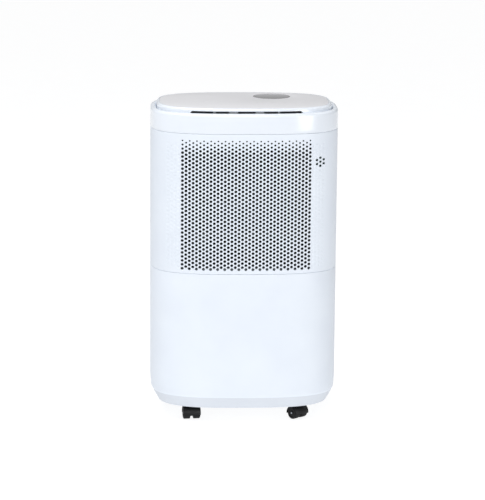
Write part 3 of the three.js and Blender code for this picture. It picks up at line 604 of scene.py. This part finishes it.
def buildGrilleCover():
    g = grilleCover
    (outer, inner), gridStart, gridCount = wallStations()
    r = cabinet["edge"]
    fromEnd = {0: 0, 1: 0.12, 2: 0.3, 3: 0.55}
    cellTop = g["topRow"] + g["rowPitch"] / 2
    cells = cellTop - g["rowPitch"] / 4 * np.arange(4 * g["rows"] + 1)
    above = [(z, i) for z, i in softEdge(coverHigh[2], -1)] + [(cellTop + 3, 0)]
    below = [(cells[-1] - 2, 0)] + [(z, i) for z, i in softEdge(coverLow[2], 1)][::-1]
    rows = above + [(z, 0) for z in cells] + below
    cellRow = len(above)
    bm = bmesh.new()
    front, back = {}, {}

    def frontVert(s, row):
        if (s, row) not in front:
            x, y = outer[s]
            z, inset = rows[row]
            end = min(s, len(outer) - 1 - s)
            if end in fromEnd and fromEnd[end] < r:
                d = fromEnd[end]
                inset = max(inset, r - math.sqrt(r * r - (r - d) ** 2))
            scale = 1 - inset / math.hypot(x, y)
            front[s, row] = bm.verts.new((x * scale * mm, y * scale * mm if end else y * mm, z * mm))
        return front[s, row]

    def backVert(s, row):
        if (s, row) not in back:
            x, y = inner[s]
            back[s, row] = bm.verts.new((x * mm, y * mm, rows[row][0] * mm))
        return back[s, row]

    def holeSize(k, centreZ):
        ck, cz = g["sensorCentre"]
        if abs(k - ck) + abs(centreZ - cz) / (g["rowPitch"] / 2) < 2.1 and k - ck in (-1, 0, 1):
            return g["sensorHole"], True
        if abs(k) <= g["holeColumns"]:
            return g["growing"].get(round((g["topRow"] - centreZ) / g["rowPitch"] * 2) / 2, g["hole"]), True
        if g["dimpleSpan"][0] < centreZ < g["dimpleSpan"][1]:
            return g["dimple"], False
        return 0, False

    taken = set()
    n = cabinet["exponent"]

    def wallY(x, inset):
        return -(halfDepth - inset) * (1 - abs(x / (halfWidth - inset)) ** n) ** (1 / n)

    def ringAt(x, z, radius, inset, depth):
        ring = []
        for i in range(16):
            angle = math.radians(225 + 22.5 * i)
            px, pz = x + radius * math.cos(angle), z + radius * math.sin(angle)
            ring.append(bm.verts.new((px * mm, (wallY(px, inset) + depth) * mm, pz * mm)))
        return ring

    def bridge(a, b):
        for i in range(16):
            j = (i + 1) % 16
            bm.faces.new((a[i], a[j], b[j], b[i]))

    around = ([(i, 4) for i in range(4)] + [(4, 4 - i) for i in range(4)]
              + [(4 - i, 0) for i in range(4)] + [(0, i) for i in range(4)])
    for column in range(2 * g["edgeColumns"] + 1):
        k = column - g["edgeColumns"]
        odd = k % 2
        for j in range(g["rows"] - odd):
            x, z = g["pitch"] * k, g["topRow"] - g["rowPitch"] * (j + odd / 2)
            size, through = holeSize(k, z)
            if not size:
                continue
            s0, r0 = gridStart + 4 * column, cellRow + 4 * j + 2 * odd
            edge = [frontVert(s0 + a, r0 + b) for a, b in around]
            radius = size / 2
            mouth = ringAt(x, z, radius + (g["lip"] if through else 0.1), 0, 0)
            bridge(edge, mouth)
            for a in range(4):
                for b in range(4):
                    taken.add(("front", s0 + a, r0 + b))
            if not through:
                floor = ringAt(x, z, radius * 0.55, 0, g["dimpleDepth"])
                bridge(mouth, floor)
                middle = bm.verts.new((x * mm, (wallY(x, 0) + g["dimpleDepth"] * 1.15) * mm, z * mm))
                for i in range(16):
                    bm.faces.new((floor[i], floor[(i + 1) % 16], middle))
                continue
            for a in range(4):
                for b in range(4):
                    taken.add(("back", s0 + a, r0 + b))
            throat = ringAt(x, z, radius, 0, g["lip"])
            behind = ringAt(x, z, radius, cabinet["wall"], 0)
            bridge(mouth, throat)
            bridge(throat, behind)
            bridge(behind, [backVert(s0 + a, r0 + b) for a, b in around])
    for s in range(len(outer) - 1):
        for row in range(len(rows) - 1):
            corners = ((s, row), (s + 1, row), (s + 1, row + 1), (s, row + 1))
            if ("front", s, row) not in taken:
                bm.faces.new([frontVert(*c) for c in corners])
            if ("back", s, row) not in taken:
                bm.faces.new([backVert(*c) for c in corners])
    last = len(outer) - 1
    for s in range(last):
        for row in (0, len(rows) - 1):
            bm.faces.new((frontVert(s, row), frontVert(s + 1, row), backVert(s + 1, row), backVert(s, row)))
    for row in range(len(rows) - 1):
        for s in (0, last):
            bm.faces.new((frontVert(s, row), frontVert(s, row + 1), backVert(s, row + 1), backVert(s, row)))
    obj = newObject("grille_cover_skin", bm, whiteAbs, "grille_cover", 40)
    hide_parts("front_grille_cover")


buildGrilleCover()
print("grille cover made")


# casing walls

casing = {"frontStations": 150, "rearStations": 190, "tankLip": 3, "tankLipInset": 8}


def wallSection(outerHeights, low, high):
    # closed (z, inset, outer) section up the outside and down the inside
    section = [(z, i + bevelCurve(z), True) for z, i in softEdge(low, 1)]
    section += [(z, bevelCurve(z), True) for z in outerHeights]
    section += [(z, i, True) for z, i in softEdge(high, -1)[::-1]]
    return section


def shadeFoot(obj):
    # the faces of the undercut foot take the greyer white, a painted shade
    slot = len(obj.data.materials)
    obj.data.materials.append(whiteAbsPaintedFootShade)
    for polygon in obj.data.polygons:
        if polygon.center.z / mm < cabinet["footTop"]:
            polygon.material_index = slot


def buildTankFront():
    low, high = tankLow[2], tankHigh[2]
    wall = cabinet["wall"]
    heights = [24.5, 26.5, 29, 31.5, 34, 36.5, 39, 41, 42.2, 43, 44, 60, 120, 180]
    section = wallSection(heights, low, high)
    lipInset, lip = casing["tankLipInset"], casing["tankLip"]
    section += [(high, lipInset - 0.4, False), (high - 0.4, lipInset, False), (high - lip, lipInset, False),
                (high - lip, wall, False), (120, wall, False)]
    section += [(z, bevelCurve(z) + wall, False) for z in (44, 40, 34, 29, 24.5)]
    section += [(low, bevelCurve(low) + wall, False)]
    obj = newObject("tank_front_skin", loftSpan(section, "front", casing["frontStations"], tankHigh[1]),
                    whiteAbs, "tank", 40)
    shadeFoot(obj)
    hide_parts("tank_front")


def circleOutline(x, z, radius, count=40):
    return [(x + radius * math.cos(2 * math.pi * i / count), z + radius * math.sin(2 * math.pi * i / count))
            for i in range(count)]


rearPorts = {
    "cord": {"node": "cord_gland", "half": 20, "corner": 4},
    "drain": {"node": "drain_spout", "half": 14, "corner": 4},
    "floorY": 84, "thickness": 2, "bore": 6.9,
}
grips = {"corner": 10, "wall": 2, "depth": 21, "gap": 0.3}


def insideVolume():
    # what lies inside the outer wall skin, used to trim pocket walls to it
    heights = [tankLow[2], 30, 36, cabinet["bevelTop"], shellHigh[2]]
    loops = [ringLoop(z, 0.9 + bevelCurve(z)) for z in heights]
    return newObject("inside", loftLoops(loops, closed=False), None, None)


def buildRearShell():
    low, high = shellLow[2], shellHigh[2]
    wall = cabinet["wall"]
    heights = [24.5, 26.5, 29, 31.5, 34, 36.5, 39, 41, 42.2, 43, 44, 60] + list(np.linspace(90, 430, 12))
    section = wallSection(heights, low, high)
    section += [(high, wall - 0.4, False), (high - 0.4, wall, False)]
    section += [(z, wall, False) for z in np.linspace(430, 90, 12)]
    section += [(z, bevelCurve(z) + wall, False) for z in (60, 44, 40, 34, 29, 24.5)]
    section += [(low, bevelCurve(low) + wall, False)]
    shell = newObject("rear_shell_skin", loftSpan(section, "rear", casing["rearStations"], shellLow[1]),
                      whiteAbs, None, 40)
    floorY, thick = rearPorts["floorY"], rearPorts["thickness"]
    added, cuts = [], []
    for key in ("cord", "drain"):
        port = rearPorts[key]
        (x0, _, z0), (x1, _, z1) = boxMm(port["node"])
        x, z, half = (x0 + x1) / 2, (z0 + z1) / 2, port["half"]
        outerHalf = half + thick
        added.append(prismPart(roundedOutline((x - outerHalf, x + outerHalf), (z - outerHalf, z + outerHalf),
                                              port["corner"] + thick), "y", floorY, 110))
        cuts.append(prismPart(roundedOutline((x - half, x + half), (z - half, z + half), port["corner"]),
                              "y", floorY + thick, 112))
        cuts.append(prismPart(circleOutline(x, z, rearPorts["bore"]), "y", floorY - 1, floorY + thick + 1))
    for i in range(1, 5):
        (x0, y0, z0), (x1, y1, z1) = boxMm(f"rear_screw_{i}")
        x, z = (x0 + x1) / 2, (z0 + z1) / 2
        seat = y1 - 2.9
        added.append(prismPart(circleOutline(x, z, 7.5), "y", seat - 2, 110))
        cuts.append(prismPart(circleOutline(x, z, 5.5), "y", seat, 112))
        cuts.append(prismPart(circleOutline(x, z, 2.1, 24), "y", seat - 3, seat + 1))
    for node in ("grip_cup_left", "grip_cup_right"):
        low3, high3 = boxMm(node)
        g = grips["gap"]
        side = 1 if high3[0] > 0 else -1
        outline = roundedOutline((low3[1] - g, high3[1] + g), (low3[2] - g, high3[2] + g),
                                 grips["corner"] + g)
        cuts.append(prismPart(outline, "x", min(100 * side, 160 * side), max(100 * side, 160 * side)))
    for part in added:
        combine(part, insideVolume(), "INTERSECT")
        combine(shell, part, "UNION")
    for part in cuts:
        combine(shell, part, "DIFFERENCE")
    shell.data.shade_smooth()
    shell.data.set_sharp_from_angle(angle=math.radians(40))
    shadeFoot(shell)
    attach(shell, "cabinet")
    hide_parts("rear_shell")


def buildGrips():
    for node in ("grip_cup_left", "grip_cup_right"):
        low, high = boxMm(node)
        side = 1 if high[0] > 0 else -1
        floorX = side * (halfWidth - grips["depth"])
        wall = grips["wall"]
        y, z = (low[1], high[1]), (low[2], high[2])
        ends = sorted((floorX - side * wall, side * 160))
        cup = prismPart(roundedOutline(y, z, grips["corner"], 10), "x", *ends)
        skin = newObject("skin", loftLoops([ringLoop(zz, 0.3) for zz in (300, 350, 400, 450)], closed=False),
                         None, None)
        combine(cup, skin, "INTERSECT")
        # the hollow narrows over its last 4 mm, for a rounded floor
        loops = []
        for step in range(7):
            angle = math.radians(15 * step)
            x = floorX + side * 4 * (1 - math.cos(angle))
            inset = wall + 4 * (1 - math.sin(angle))
            outline = roundedOutline((y[0] + inset, y[1] - inset), (z[0] + inset, z[1] - inset),
                                     grips["corner"] - wall, 10)
            loops.append([(x, u, v) for u, v in outline])
        outline = roundedOutline((y[0] + wall, y[1] - wall), (z[0] + wall, z[1] - wall),
                                 grips["corner"] - wall, 10)
        loops.append([(side * 170, u, v) for u, v in outline])
        hollow = newObject("hollow", loftLoops(loops, closed=False), None, None)
        combine(cup, hollow, "DIFFERENCE")
        cup.name = node + "_skin"
        refinish(cup, gripAbsPaintedShade, 40)
        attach(cup, "cabinet")
        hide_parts(node)


buildTankFront()
buildRearShell()
buildGrips()
print("casing made")


# upper ring and the raised top plate

topDeck = {
    "crown": [(480.4, 0), (481.6, 0.15), (482.6, 0.55), (483.4, 1.15), (484.0, 1.9), (484.5, 2.8), (484.8,
            3.8), (485, 4.9)],
    # rounded inner lip of the ring
    "inside": [(485, 5.5), (484.8, 6.5), (484.3, 7.4), (483.5, 8.1), (482.4, 8.5)],
    "recess": 8.5, "deckTop": 478.5, "deckUnder": 475.5, "duct": ((-83, -11), (-17, 44)),
    "plateInset": 9.6, "plateBevel": 2.4, "inlayInset": 14.0, "inlayFloor": 490.3, "underside": 488.3,
    "slotHalf": 85.5, "slotLow": 480.5, "slotHigh": 487.7,
    "lensGap": 0.3,
    "vaneCells": ((-84, -50.5), (-47.5, -26.5), (-13.5, 13.5), (26.5, 47.5), (50.5, 84)),
}


def aimedAt(loop, shape, centre):
    # for each point of loop, the point of a closed shape that lies in the same direction from centre
    shape = np.array(shape + shape[:1])
    turn = np.unwrap(np.arctan2(shape[:, 1] - centre[1], shape[:, 0] - centre[0]))
    want = np.arctan2(loop[:, 1] - centre[1], loop[:, 0] - centre[0])
    want = (want - turn[0]) % (2 * math.pi) + turn[0]
    return np.stack([np.interp(want, turn, shape[:, i]) for i in (0, 1)], 1)


def finely(outline, step=0.5):
    points = []
    for (x0, y0), (x1, y1) in zip(outline, outline[1:] + outline[:1]):
        count = max(1, int(math.hypot(x1 - x0, y1 - y0) / step))
        points += [(x0 + (x1 - x0) * i / count, y0 + (y1 - y0) * i / count) for i in range(count)]
    return points


def buildUpperHousing():
    t = topDeck
    low, wall = ringBase, cabinet["wall"]
    levels = softEdge(low, 1) + [(460, 0), (470, 0)] + t["crown"]
    levels += t["inside"] + [(t["deckTop"], t["recess"])]
    loops = [ringLoop(z, inset) for z, inset in levels]
    duct = finely(roundedOutline(*t["duct"], 3))
    centre = (sum(t["duct"][0]) / 2, sum(t["duct"][1]) / 2)
    hole = aimedAt(loops[-1][:, :2], duct, centre)
    for share in (0.5, 1):
        edge = loops[len(levels) - 1][:, :2]
        loops.append(np.column_stack([edge + share * (hole - edge), np.full(len(hole), t["deckTop"])]))
    loops.append(np.column_stack([hole, np.full(len(hole), t["deckUnder"])]))
    loops += [ringLoop(z, inset) for z, inset in ((t["deckUnder"], wall), (465, wall), (low + 0.4, wall),
                                                  (low, wall - 0.4))]
    obj = newObject("upper_ring", loftLoops(loops), whiteAbsPolishedPaintedLight, "cabinet", 40)
    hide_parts("upper_housing")


def buildTopPlate():
    t = topDeck
    inset, bevel, top, low = t["plateInset"], t["plateBevel"], plateHigh[2], plateLow[2]
    wall = cabinet["wall"]
    levels = [(t["underside"], inset + wall), (low + 0.3, inset + wall), (low, inset + wall - 0.3), (low,
            inset + 0.4),
              (low + 0.4, inset), (484, inset), (top - bevel - 0.5, inset), (top - bevel, inset + 0.12),
              (top - bevel + 0.4, inset + 0.42), (top - 0.5, inset + bevel - 0.5), (top - 0.16,
                      inset + bevel - 0.1),
              (top, inset + bevel + 0.35), (top, t["inlayInset"] - 0.15), (top - 0.15, t["inlayInset"]),
              (t["inlayFloor"], t["inlayInset"])]
    loops = [ringLoop(z, i) for z, i in levels]
    rim = newObject("top_plate_rim", loftLoops(loops, closed=False), whiteAbsPolishedPaintedLight, None, 40)
    outline = roundedOutline((-t["slotHalf"], t["slotHalf"]), (t["slotLow"], t["slotHigh"]),
                             (t["slotHigh"] - t["slotLow"]) / 2 - 0.01, 8)
    combine(rim, prismPart(outline, "y", -110, -60), "DIFFERENCE")
    rim.data.shade_smooth()
    rim.data.set_sharp_from_angle(angle=math.radians(40))
    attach(rim, "cabinet")
    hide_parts("top_panel")

    lensLow, lensHigh = boxMm("display_lens")
    lensX, lensY = (lensLow[0] + lensHigh[0]) / 2, (lensLow[1] + lensHigh[1]) / 2
    radius = (lensHigh[0] - lensLow[0]) / 2
    bore = radius + t["lensGap"]
    edge = t["inlayInset"] + 0.3
    base = t["inlayFloor"] + 0.3
    outerLoops = [ringLoop(z, i) for z, i in ((base, edge), (top - 0.3, edge), (top - 0.09, edge + 0.09),
                                              (top, edge + 0.3))]
    loops = list(outerLoops)
    centre = (lensX, lensY)
    for z, extra in ((top, 0.45), (top - 0.12, 0.12), (top - 0.45, 0), (base, 0)):
        circle = circleOutline(lensX, lensY, bore + extra, 720)
        xy = aimedAt(outerLoops[-1][:, :2], circle, centre)
        loops.append(np.column_stack([xy, np.full(len(xy), z)]))
    inlay = newObject("top_inlay_plate", loftLoops(loops), silverInlay, "cabinet", 40)
    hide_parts("top_inlay")

    # the lens: a polished disc, a little dished, inside its own narrow raised bezel
    profile = [(0, base), (radius, base), (radius, top - 0.5), (radius - 0.15, top - 0.15), (radius - 0.5,
            top),
               (radius - 1.1, top), (radius - 1.35, top - 0.2), (radius * 0.7, top - 0.45), (radius * 0.35,
                       top - 0.58),
               (0, top - 0.62)]
    lens = newObject("display_disc", latheBm(profile, 128, "z", (lensX, lensY, 0)), smokedLens, "cabinet", 40)
    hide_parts("display_lens")


def buildOutletVanes():
    t = topDeck
    behind = t["plateInset"] + cabinet["wall"] + 0.3
    low, high = t["deckTop"] + 0.4, t["underside"] - 0.3
    loops = [ringLoop(z, i) for z, i in ((low, behind), (high, behind), (high, behind + 5), (low,
            behind + 5))]
    vanes = newObject("outlet_vanes", loftLoops(loops), vanePaintedShadeGrey, None, 40)
    keep = newObject("keep", addBlock(bmesh.new(), (-90, 90), (-110, -50), (low - 1, high + 1)), None, None)
    combine(vanes, keep, "INTERSECT")
    for x0, x1 in t["vaneCells"]:
        outline = roundedOutline((x0, x1), (t["slotLow"], high - 1), 1.0, 4)
        combine(vanes, prismPart(outline, "y", -110, -50), "DIFFERENCE")
    refinish(vanes, vanePaintedShadeGrey, 40)
    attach(vanes, "cabinet")
    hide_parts("outlet_grille")


buildUpperHousing()
buildTopPlate()
buildOutletVanes()
print("top made")


# casters: a moulded hood with softened edges and two wheels with recessed hubs

casters = {
    "trail": 4, "radius": 9.5, "wheelWidth": 11, "web": 4, "hoodWall": 1.9, "stemRadius": 7,
    "turns": {"front_left": 0.1, "front_right": 0.7, "rear_left": 0.5, "rear_right": -0.3},
}


def buildCaster(place):
    c = casters
    pivot = [j for j in frame["joints"] if j["name"] == f"caster_{place}_swivel"][0]["pos_m"]
    turn = c["turns"][place]
    toPlace = Matrix.Translation(Vector(pivot[:2] + [0])) @ Matrix.Rotation(turn, 4, "Z")
    half = c["web"] / 2 + c["wheelWidth"] + 0.8
    hoodRadius = c["radius"] + c["hoodWall"]
    y, z = -c["trail"], c["radius"]
    soft = 1.1
    hood = newObject("hood", latheBm([(0, -half), (hoodRadius - soft - 0.6, -half), (hoodRadius - 0.5,
            -half + 0.5),
                     (hoodRadius, -half + soft + 0.3), (hoodRadius, half - soft - 0.3), (hoodRadius - 0.5,
                             half - 0.5),
                     (hoodRadius - soft - 0.6, half), (0, half)], 64, "x", (0, y, z)), blackNylon, None)
    stemTop = boxMm("base_pan")[0][2] - 0.3
    stem = newObject("stem", latheBm([(0, z), (c["stemRadius"], z), (c["stemRadius"], stemTop - 0.6),
                     (c["stemRadius"] - 0.6, stemTop), (4, stemTop), (4, stemTop + 3.2), (3.4, stemTop + 3.8),
                     (0, stemTop + 3.8)], 48, "z", (0, 0, 0)), None, None)
    combine(hood, stem, "UNION")
    cut = newObject("cut", addBlock(bmesh.new(), (-30, 30), (-40, 40), (-5, z - 1.5)), None, None)
    combine(hood, cut, "DIFFERENCE")
    for side in (-1, 1):
        ends = sorted((side * c["web"] / 2, side * (half + 2)))
        well = latheBm([(0, ends[0]), (c["radius"] + 0.7, ends[0]), (c["radius"] + 0.7, ends[1]), (0,
                ends[1])],
                       64, "x", (0, y, z))
        combine(hood, newObject("well", well, None, None), "DIFFERENCE")
    web = latheBm([(0, -c["web"] / 2), (5.5, -c["web"] / 2), (5.5, c["web"] / 2), (0, c["web"] / 2)], 48,
                  "x", (0, y, z))
    combine(hood, newObject("web", web, None, None), "UNION")
    bore = latheBm([(0, -20), (1.65, -20), (1.65, 20), (0, 20)], 24, "x", (0, y, z))
    combine(hood, newObject("bore", bore, None, None), "DIFFERENCE")
    hood.data.transform(toPlace @ Matrix.Scale(1, 4))
    hood.name = f"caster_{place}_cap"
    refinish(hood, blackNylon, 38)
    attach(hood, f"caster_{place}")
    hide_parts(f"caster_{place}_hood")

    r, w = c["radius"], c["wheelWidth"]
    for letter, side in (("a", -1), ("b", 1)):
        start = c["web"] / 2 + 0.3
        profile = [(1.75, 0), (r - 1.4, 0), (r - 0.5, 0.35), (r, 1.2), (r, w - 2.0), (r - 0.35, w - 0.9),
                   (r - 1.3, w - 0.2),
                   (r - 2.2, w), (r - 2.9, w - 0.1), (r - 3.3, w - 0.8), (r - 3.6, w - 1.1), (4.2, w - 1.1),
                   (3.6, w - 0.6), (3.0, w - 0.2), (2.2, w - 0.1), (1.75, w - 0.4)]
        profile = [(radius, side * (start + h)) for radius, h in profile]
        wheel = newObject(f"caster_{place}_tyre_{letter}", latheBm(profile, 64, "x", (0, y, z)), blackNylon,
                          None, 40)
        wheel.data.materials.append(treadUrethane)
        for polygon in wheel.data.polygons:
            centre = polygon.center / mm
            if math.hypot(centre.y - y, centre.z - z) > r - 1.0:
                polygon.material_index = 1
        wheel.data.transform(toPlace)
        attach(wheel, f"caster_{place}_wheel_{letter}")
        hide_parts(f"caster_{place}_wheel_{letter}")


for place in casters["turns"]:
    buildCaster(place)
print("casters made")


# screws: zinc-plated pan heads with a cross recess

def buildScrew(number):
    node = f"rear_screw_{number}"
    low, high = boxMm(node)
    x, z = (low[0] + high[0]) / 2, (low[2] + high[2]) / 2
    seat = high[1] - 2.6
    profile = [(0, low[1]), (0.5, low[1] + 0.3), (1.6, low[1] + 1.8), (1.6, seat), (4.4, seat), (4.4,
            seat + 1.2),
               (4.0, seat + 2.0), (2.9, seat + 2.45), (1.6, seat + 2.58), (0, seat + 2.6)]
    screw = newObject(f"{node}_head", latheBm(profile, 48, "y", (x, 0, z)), zincSteel, None, 40)
    for wide, tall in ((2.1, 0.45), (0.45, 2.1)):
        bit = newObject("bit", addBlock(bmesh.new(), (x - wide, x + wide), (seat + 1.2, seat + 4), (z - tall,
                z + tall)),
                        None, None)
        combine(screw, bit, "DIFFERENCE")
    refinish(screw, zincSteel, 40)
    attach(screw, "cabinet")
    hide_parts(node)


for number in range(1, 5):
    buildScrew(number)


# coils: thin foil fins on copper hairpins

coils = {"finPitch": 2.6, "finThick": 0.3, "tubeRadius": 3.4, "tubes": (268, 293, 318, 343, 368, 393, 418)}


def buildCoil(node):
    low, high = boxMm(node)
    y = (low[1] + high[1]) / 2
    bm = bmesh.new()
    x, edgeX = low[0], -low[0]
    while x < edgeX - coils["finThick"]:
        addBlock(bm, (x, x + coils["finThick"]), (low[1], high[1]), (low[2], high[2]))
        x += coils["finPitch"]
    fins = newObject(f"{node}_fins", bm, aluminiumFoil, "cabinet", 30)
    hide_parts(node)
    bends = bmesh.new()
    reach = high[0] - edgeX
    for low2, high2 in zip(coils["tubes"][::2], coils["tubes"][1::2]):
        points = []
        mid, spread = (low2 + high2) / 2, (high2 - low2) / 2
        for i in range(17):
            angle = math.radians(-90 + 180 * i / 16)
            points.append(Vector((edgeX + (reach - 3.6) * math.cos(angle), y,
                                  mid + spread * math.sin(angle))))
        points = [Vector((low[0] + 1, y, low2))] + points + [Vector((low[0] + 1, y, high2))]
        rings = []
        for k, p in enumerate(points):
            ahead = (points[min(k + 1, len(points) - 1)] - points[max(k - 1, 0)]).normalized()
            across = Vector((0, 1, 0))
            up = ahead.cross(across).normalized()
            rings.append([bends.verts.new((p + coils["tubeRadius"] * (math.cos(a) * across + math.sin(a) * up)) * mm)
                          for a in np.linspace(0, 2 * math.pi, 17)[:-1]])
        for a, b in zip(rings, rings[1:]):
            for i in range(16):
                bends.faces.new((a[i], a[(i + 1) % 16], b[(i + 1) % 16], b[i]))
        bends.faces.new(rings[0])
        bends.faces.new(rings[-1])
    tubes = newObject(f"{node}_hairpins", bends, copperTube, "cabinet", 40)


buildCoil("evaporator")
buildCoil("condenser")
print("fittings made")


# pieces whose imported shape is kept, each with its finish

keptPieces = {
    "base_pan": greyPolypropylene, "filter_frame": blackAbs, "filter_mesh": filterWeave,
    "chassis": greyPolypropylene,
    "humidity_sensor": boardLaminate, "display_board": boardLaminate, "control_board": boardLaminate,
    "compressor": blackEnamel, "accumulator": blackEnamel, "fan_motor": blackEnamel,
    "compressor_foot_1": nitrileRubber, "compressor_foot_2": nitrileRubber,
    "compressor_foot_3": nitrileRubber,
    "drain_plug": nitrileRubber, "suction_pipe": copperTube, "discharge_pipe": copperTube,
    "fan_scroll": greyPolypropylene, "fan_wheel": blackAbs, "fan_shaft": zincSteel, "control_box": blackAbs,
    "capacitor": aluminiumFoil, "level_switch": blackAbs, "cord_gland": blackAbs,
    "drain_spout": greyPolypropylene,
    "tank_bucket": tankStyrene, "tank_lid": greyPolypropylene, "tank_handle": greyPolypropylene,
    "tank_float": floatFoam,
}
for place in casters["turns"]:
    keptPieces[f"caster_{place}_axle"] = zincSteel
for name, material in keptPieces.items():
    node = frame["nodes"][name]
    if node.material_slots:
        node.material_slots[0].material = material
    else:
        node.data.materials.append(material)
print("finishes set")


# floor, light and camera

studio = {
    "floorRadius": 12000, "floor": ("#88898b", "#8d8e90"),
    "floorGlow": (0.66, 0.87), "glowSpan": (-900, -560),  # dimmer in front, to light the wall less from below
    "key": {"place": (-100, -3400, 1500), "size": (1500, 1500), "power": 40},
    "top": {"place": (-600, -350, 2600), "size": (1600, 1200), "power": 36},
    "strip": {"place": (1650, -1950, 560), "size": (900, 1100), "power": 22, "glossOnly": True},
    "world": "#ffffff", "worldStrength": 0.38,
}


def makeTableAcrylic():
    # opal acrylic of a lit product table: even white with no hard shadow, and a faint cloud 60 mm across
    material, tree, place = startMaterial("acrylicOpalLit")
    cloud = addNode(tree, "ShaderNodeTexNoise", {"Scale": 1000 / 60, "Detail": 3}, {"Vector": place})
    colour = setRamp(addNode(tree, "ShaderNodeValToRGB", links={"Fac": cloud.outputs["Fac"]}),
                     [(0.3, hexLinear(studio["floor"][0])), (0.7, hexLinear(studio["floor"][1]))])
    parts = addNode(tree, "ShaderNodeSeparateXYZ", links={"Vector": place})
    glow = addNode(tree, "ShaderNodeMapRange", {
        "From Min": studio["glowSpan"][0] * mm, "From Max": studio["glowSpan"][1] * mm,
        "To Min": studio["floorGlow"][0], "To Max": studio["floorGlow"][1]}, {"Value": parts.outputs["Y"]})
    shader = addNode(tree, "ShaderNodeBsdfPrincipled", {"Roughness": 0.9, "Specular IOR Level": 0.1,
                     "Emission Color": (1, 1, 1, 1)},
                     {"Base Color": colour.outputs[0], "Emission Strength": glow.outputs[0]})
    finishMaterial(tree, shader)
    return material


def buildFloor():
    points = [(0, 0, 0)]
    for radius in (300, 900, 2500, 6000, studio["floorRadius"]):
        points += [(radius * math.cos(a), radius * math.sin(a), 0) for a in np.linspace(0, 2 * math.pi,
                65)[:-1]]
    faces = [(0, 1 + i, 1 + (i + 1) % 64) for i in range(64)]
    for k in range(4):
        a, b = 1 + 64 * k, 65 + 64 * k
        faces += [(a + i, b + i, b + (i + 1) % 64, a + (i + 1) % 64) for i in range(64)]
    floor = newObject("floor", meshOf(points, faces), makeTableAcrylic(), None, 60)


def addSoftbox(name, look, aim=(0, 0, 250)):
    light = bpy.data.lights.new(name, "AREA")
    light.shape, light.energy = "RECTANGLE", look["power"]
    light.size, light.size_y = look["size"][0] * mm, look["size"][1] * mm
    lamp = bpy.data.objects.new(name, light)
    lamp.location = Vector(look["place"]) * mm
    lamp.rotation_euler = (Vector(aim) * mm - lamp.location).to_track_quat("-Z", "Y").to_euler()
    lamp.visible_diffuse = not look.get("glossOnly", False)
    bpy.context.scene.collection.objects.link(lamp)


def setWorld():
    world = bpy.data.worlds.new("studio")
    world.use_nodes = True
    world.node_tree.nodes.clear()
    tree = world.node_tree
    glow = addNode(tree, "ShaderNodeBackground", {"Color": hexLinear(studio["world"]),
                   "Strength": studio["worldStrength"]})
    addNode(tree, "ShaderNodeOutputWorld", links={"Surface": glow.outputs[0]})
    bpy.context.scene.world = world


view = {
    "place": (-201.53, -3949.02, 1070.65),
    "yaw": 2.916, "pitch": 11.657, "roll": 0.462,
    "lens": 185.295, "sensor": 36,
}


def addCamera():
    data = bpy.data.cameras.new("camera")
    data.lens, data.sensor_width = view["lens"], view["sensor"]
    data.clip_start, data.clip_end = 0.05, 60
    camera = bpy.data.objects.new("camera", data)
    yaw, pitch, roll = (math.radians(view[k]) for k in ("yaw", "pitch", "roll"))
    forward = Vector((math.sin(yaw) * math.cos(pitch), math.cos(yaw) * math.cos(pitch), -math.sin(pitch)))
    right = Vector((math.cos(yaw), -math.sin(yaw), 0))
    up = right.cross(forward)
    right, up = math.cos(roll) * right + math.sin(roll) * up, math.cos(roll) * up - math.sin(roll) * right
    turn = Matrix((right, up, -forward)).transposed().to_4x4()
    camera.matrix_world = Matrix.Translation(Vector(view["place"]) * mm) @ turn
    bpy.context.scene.collection.objects.link(camera)
    bpy.context.scene.camera = camera


buildFloor()
for name in ("key", "top", "strip"):
    addSoftbox(name, studio[name])
setWorld()
addCamera()
bpy.context.scene.view_settings.view_transform = "Standard"
print("studio set")
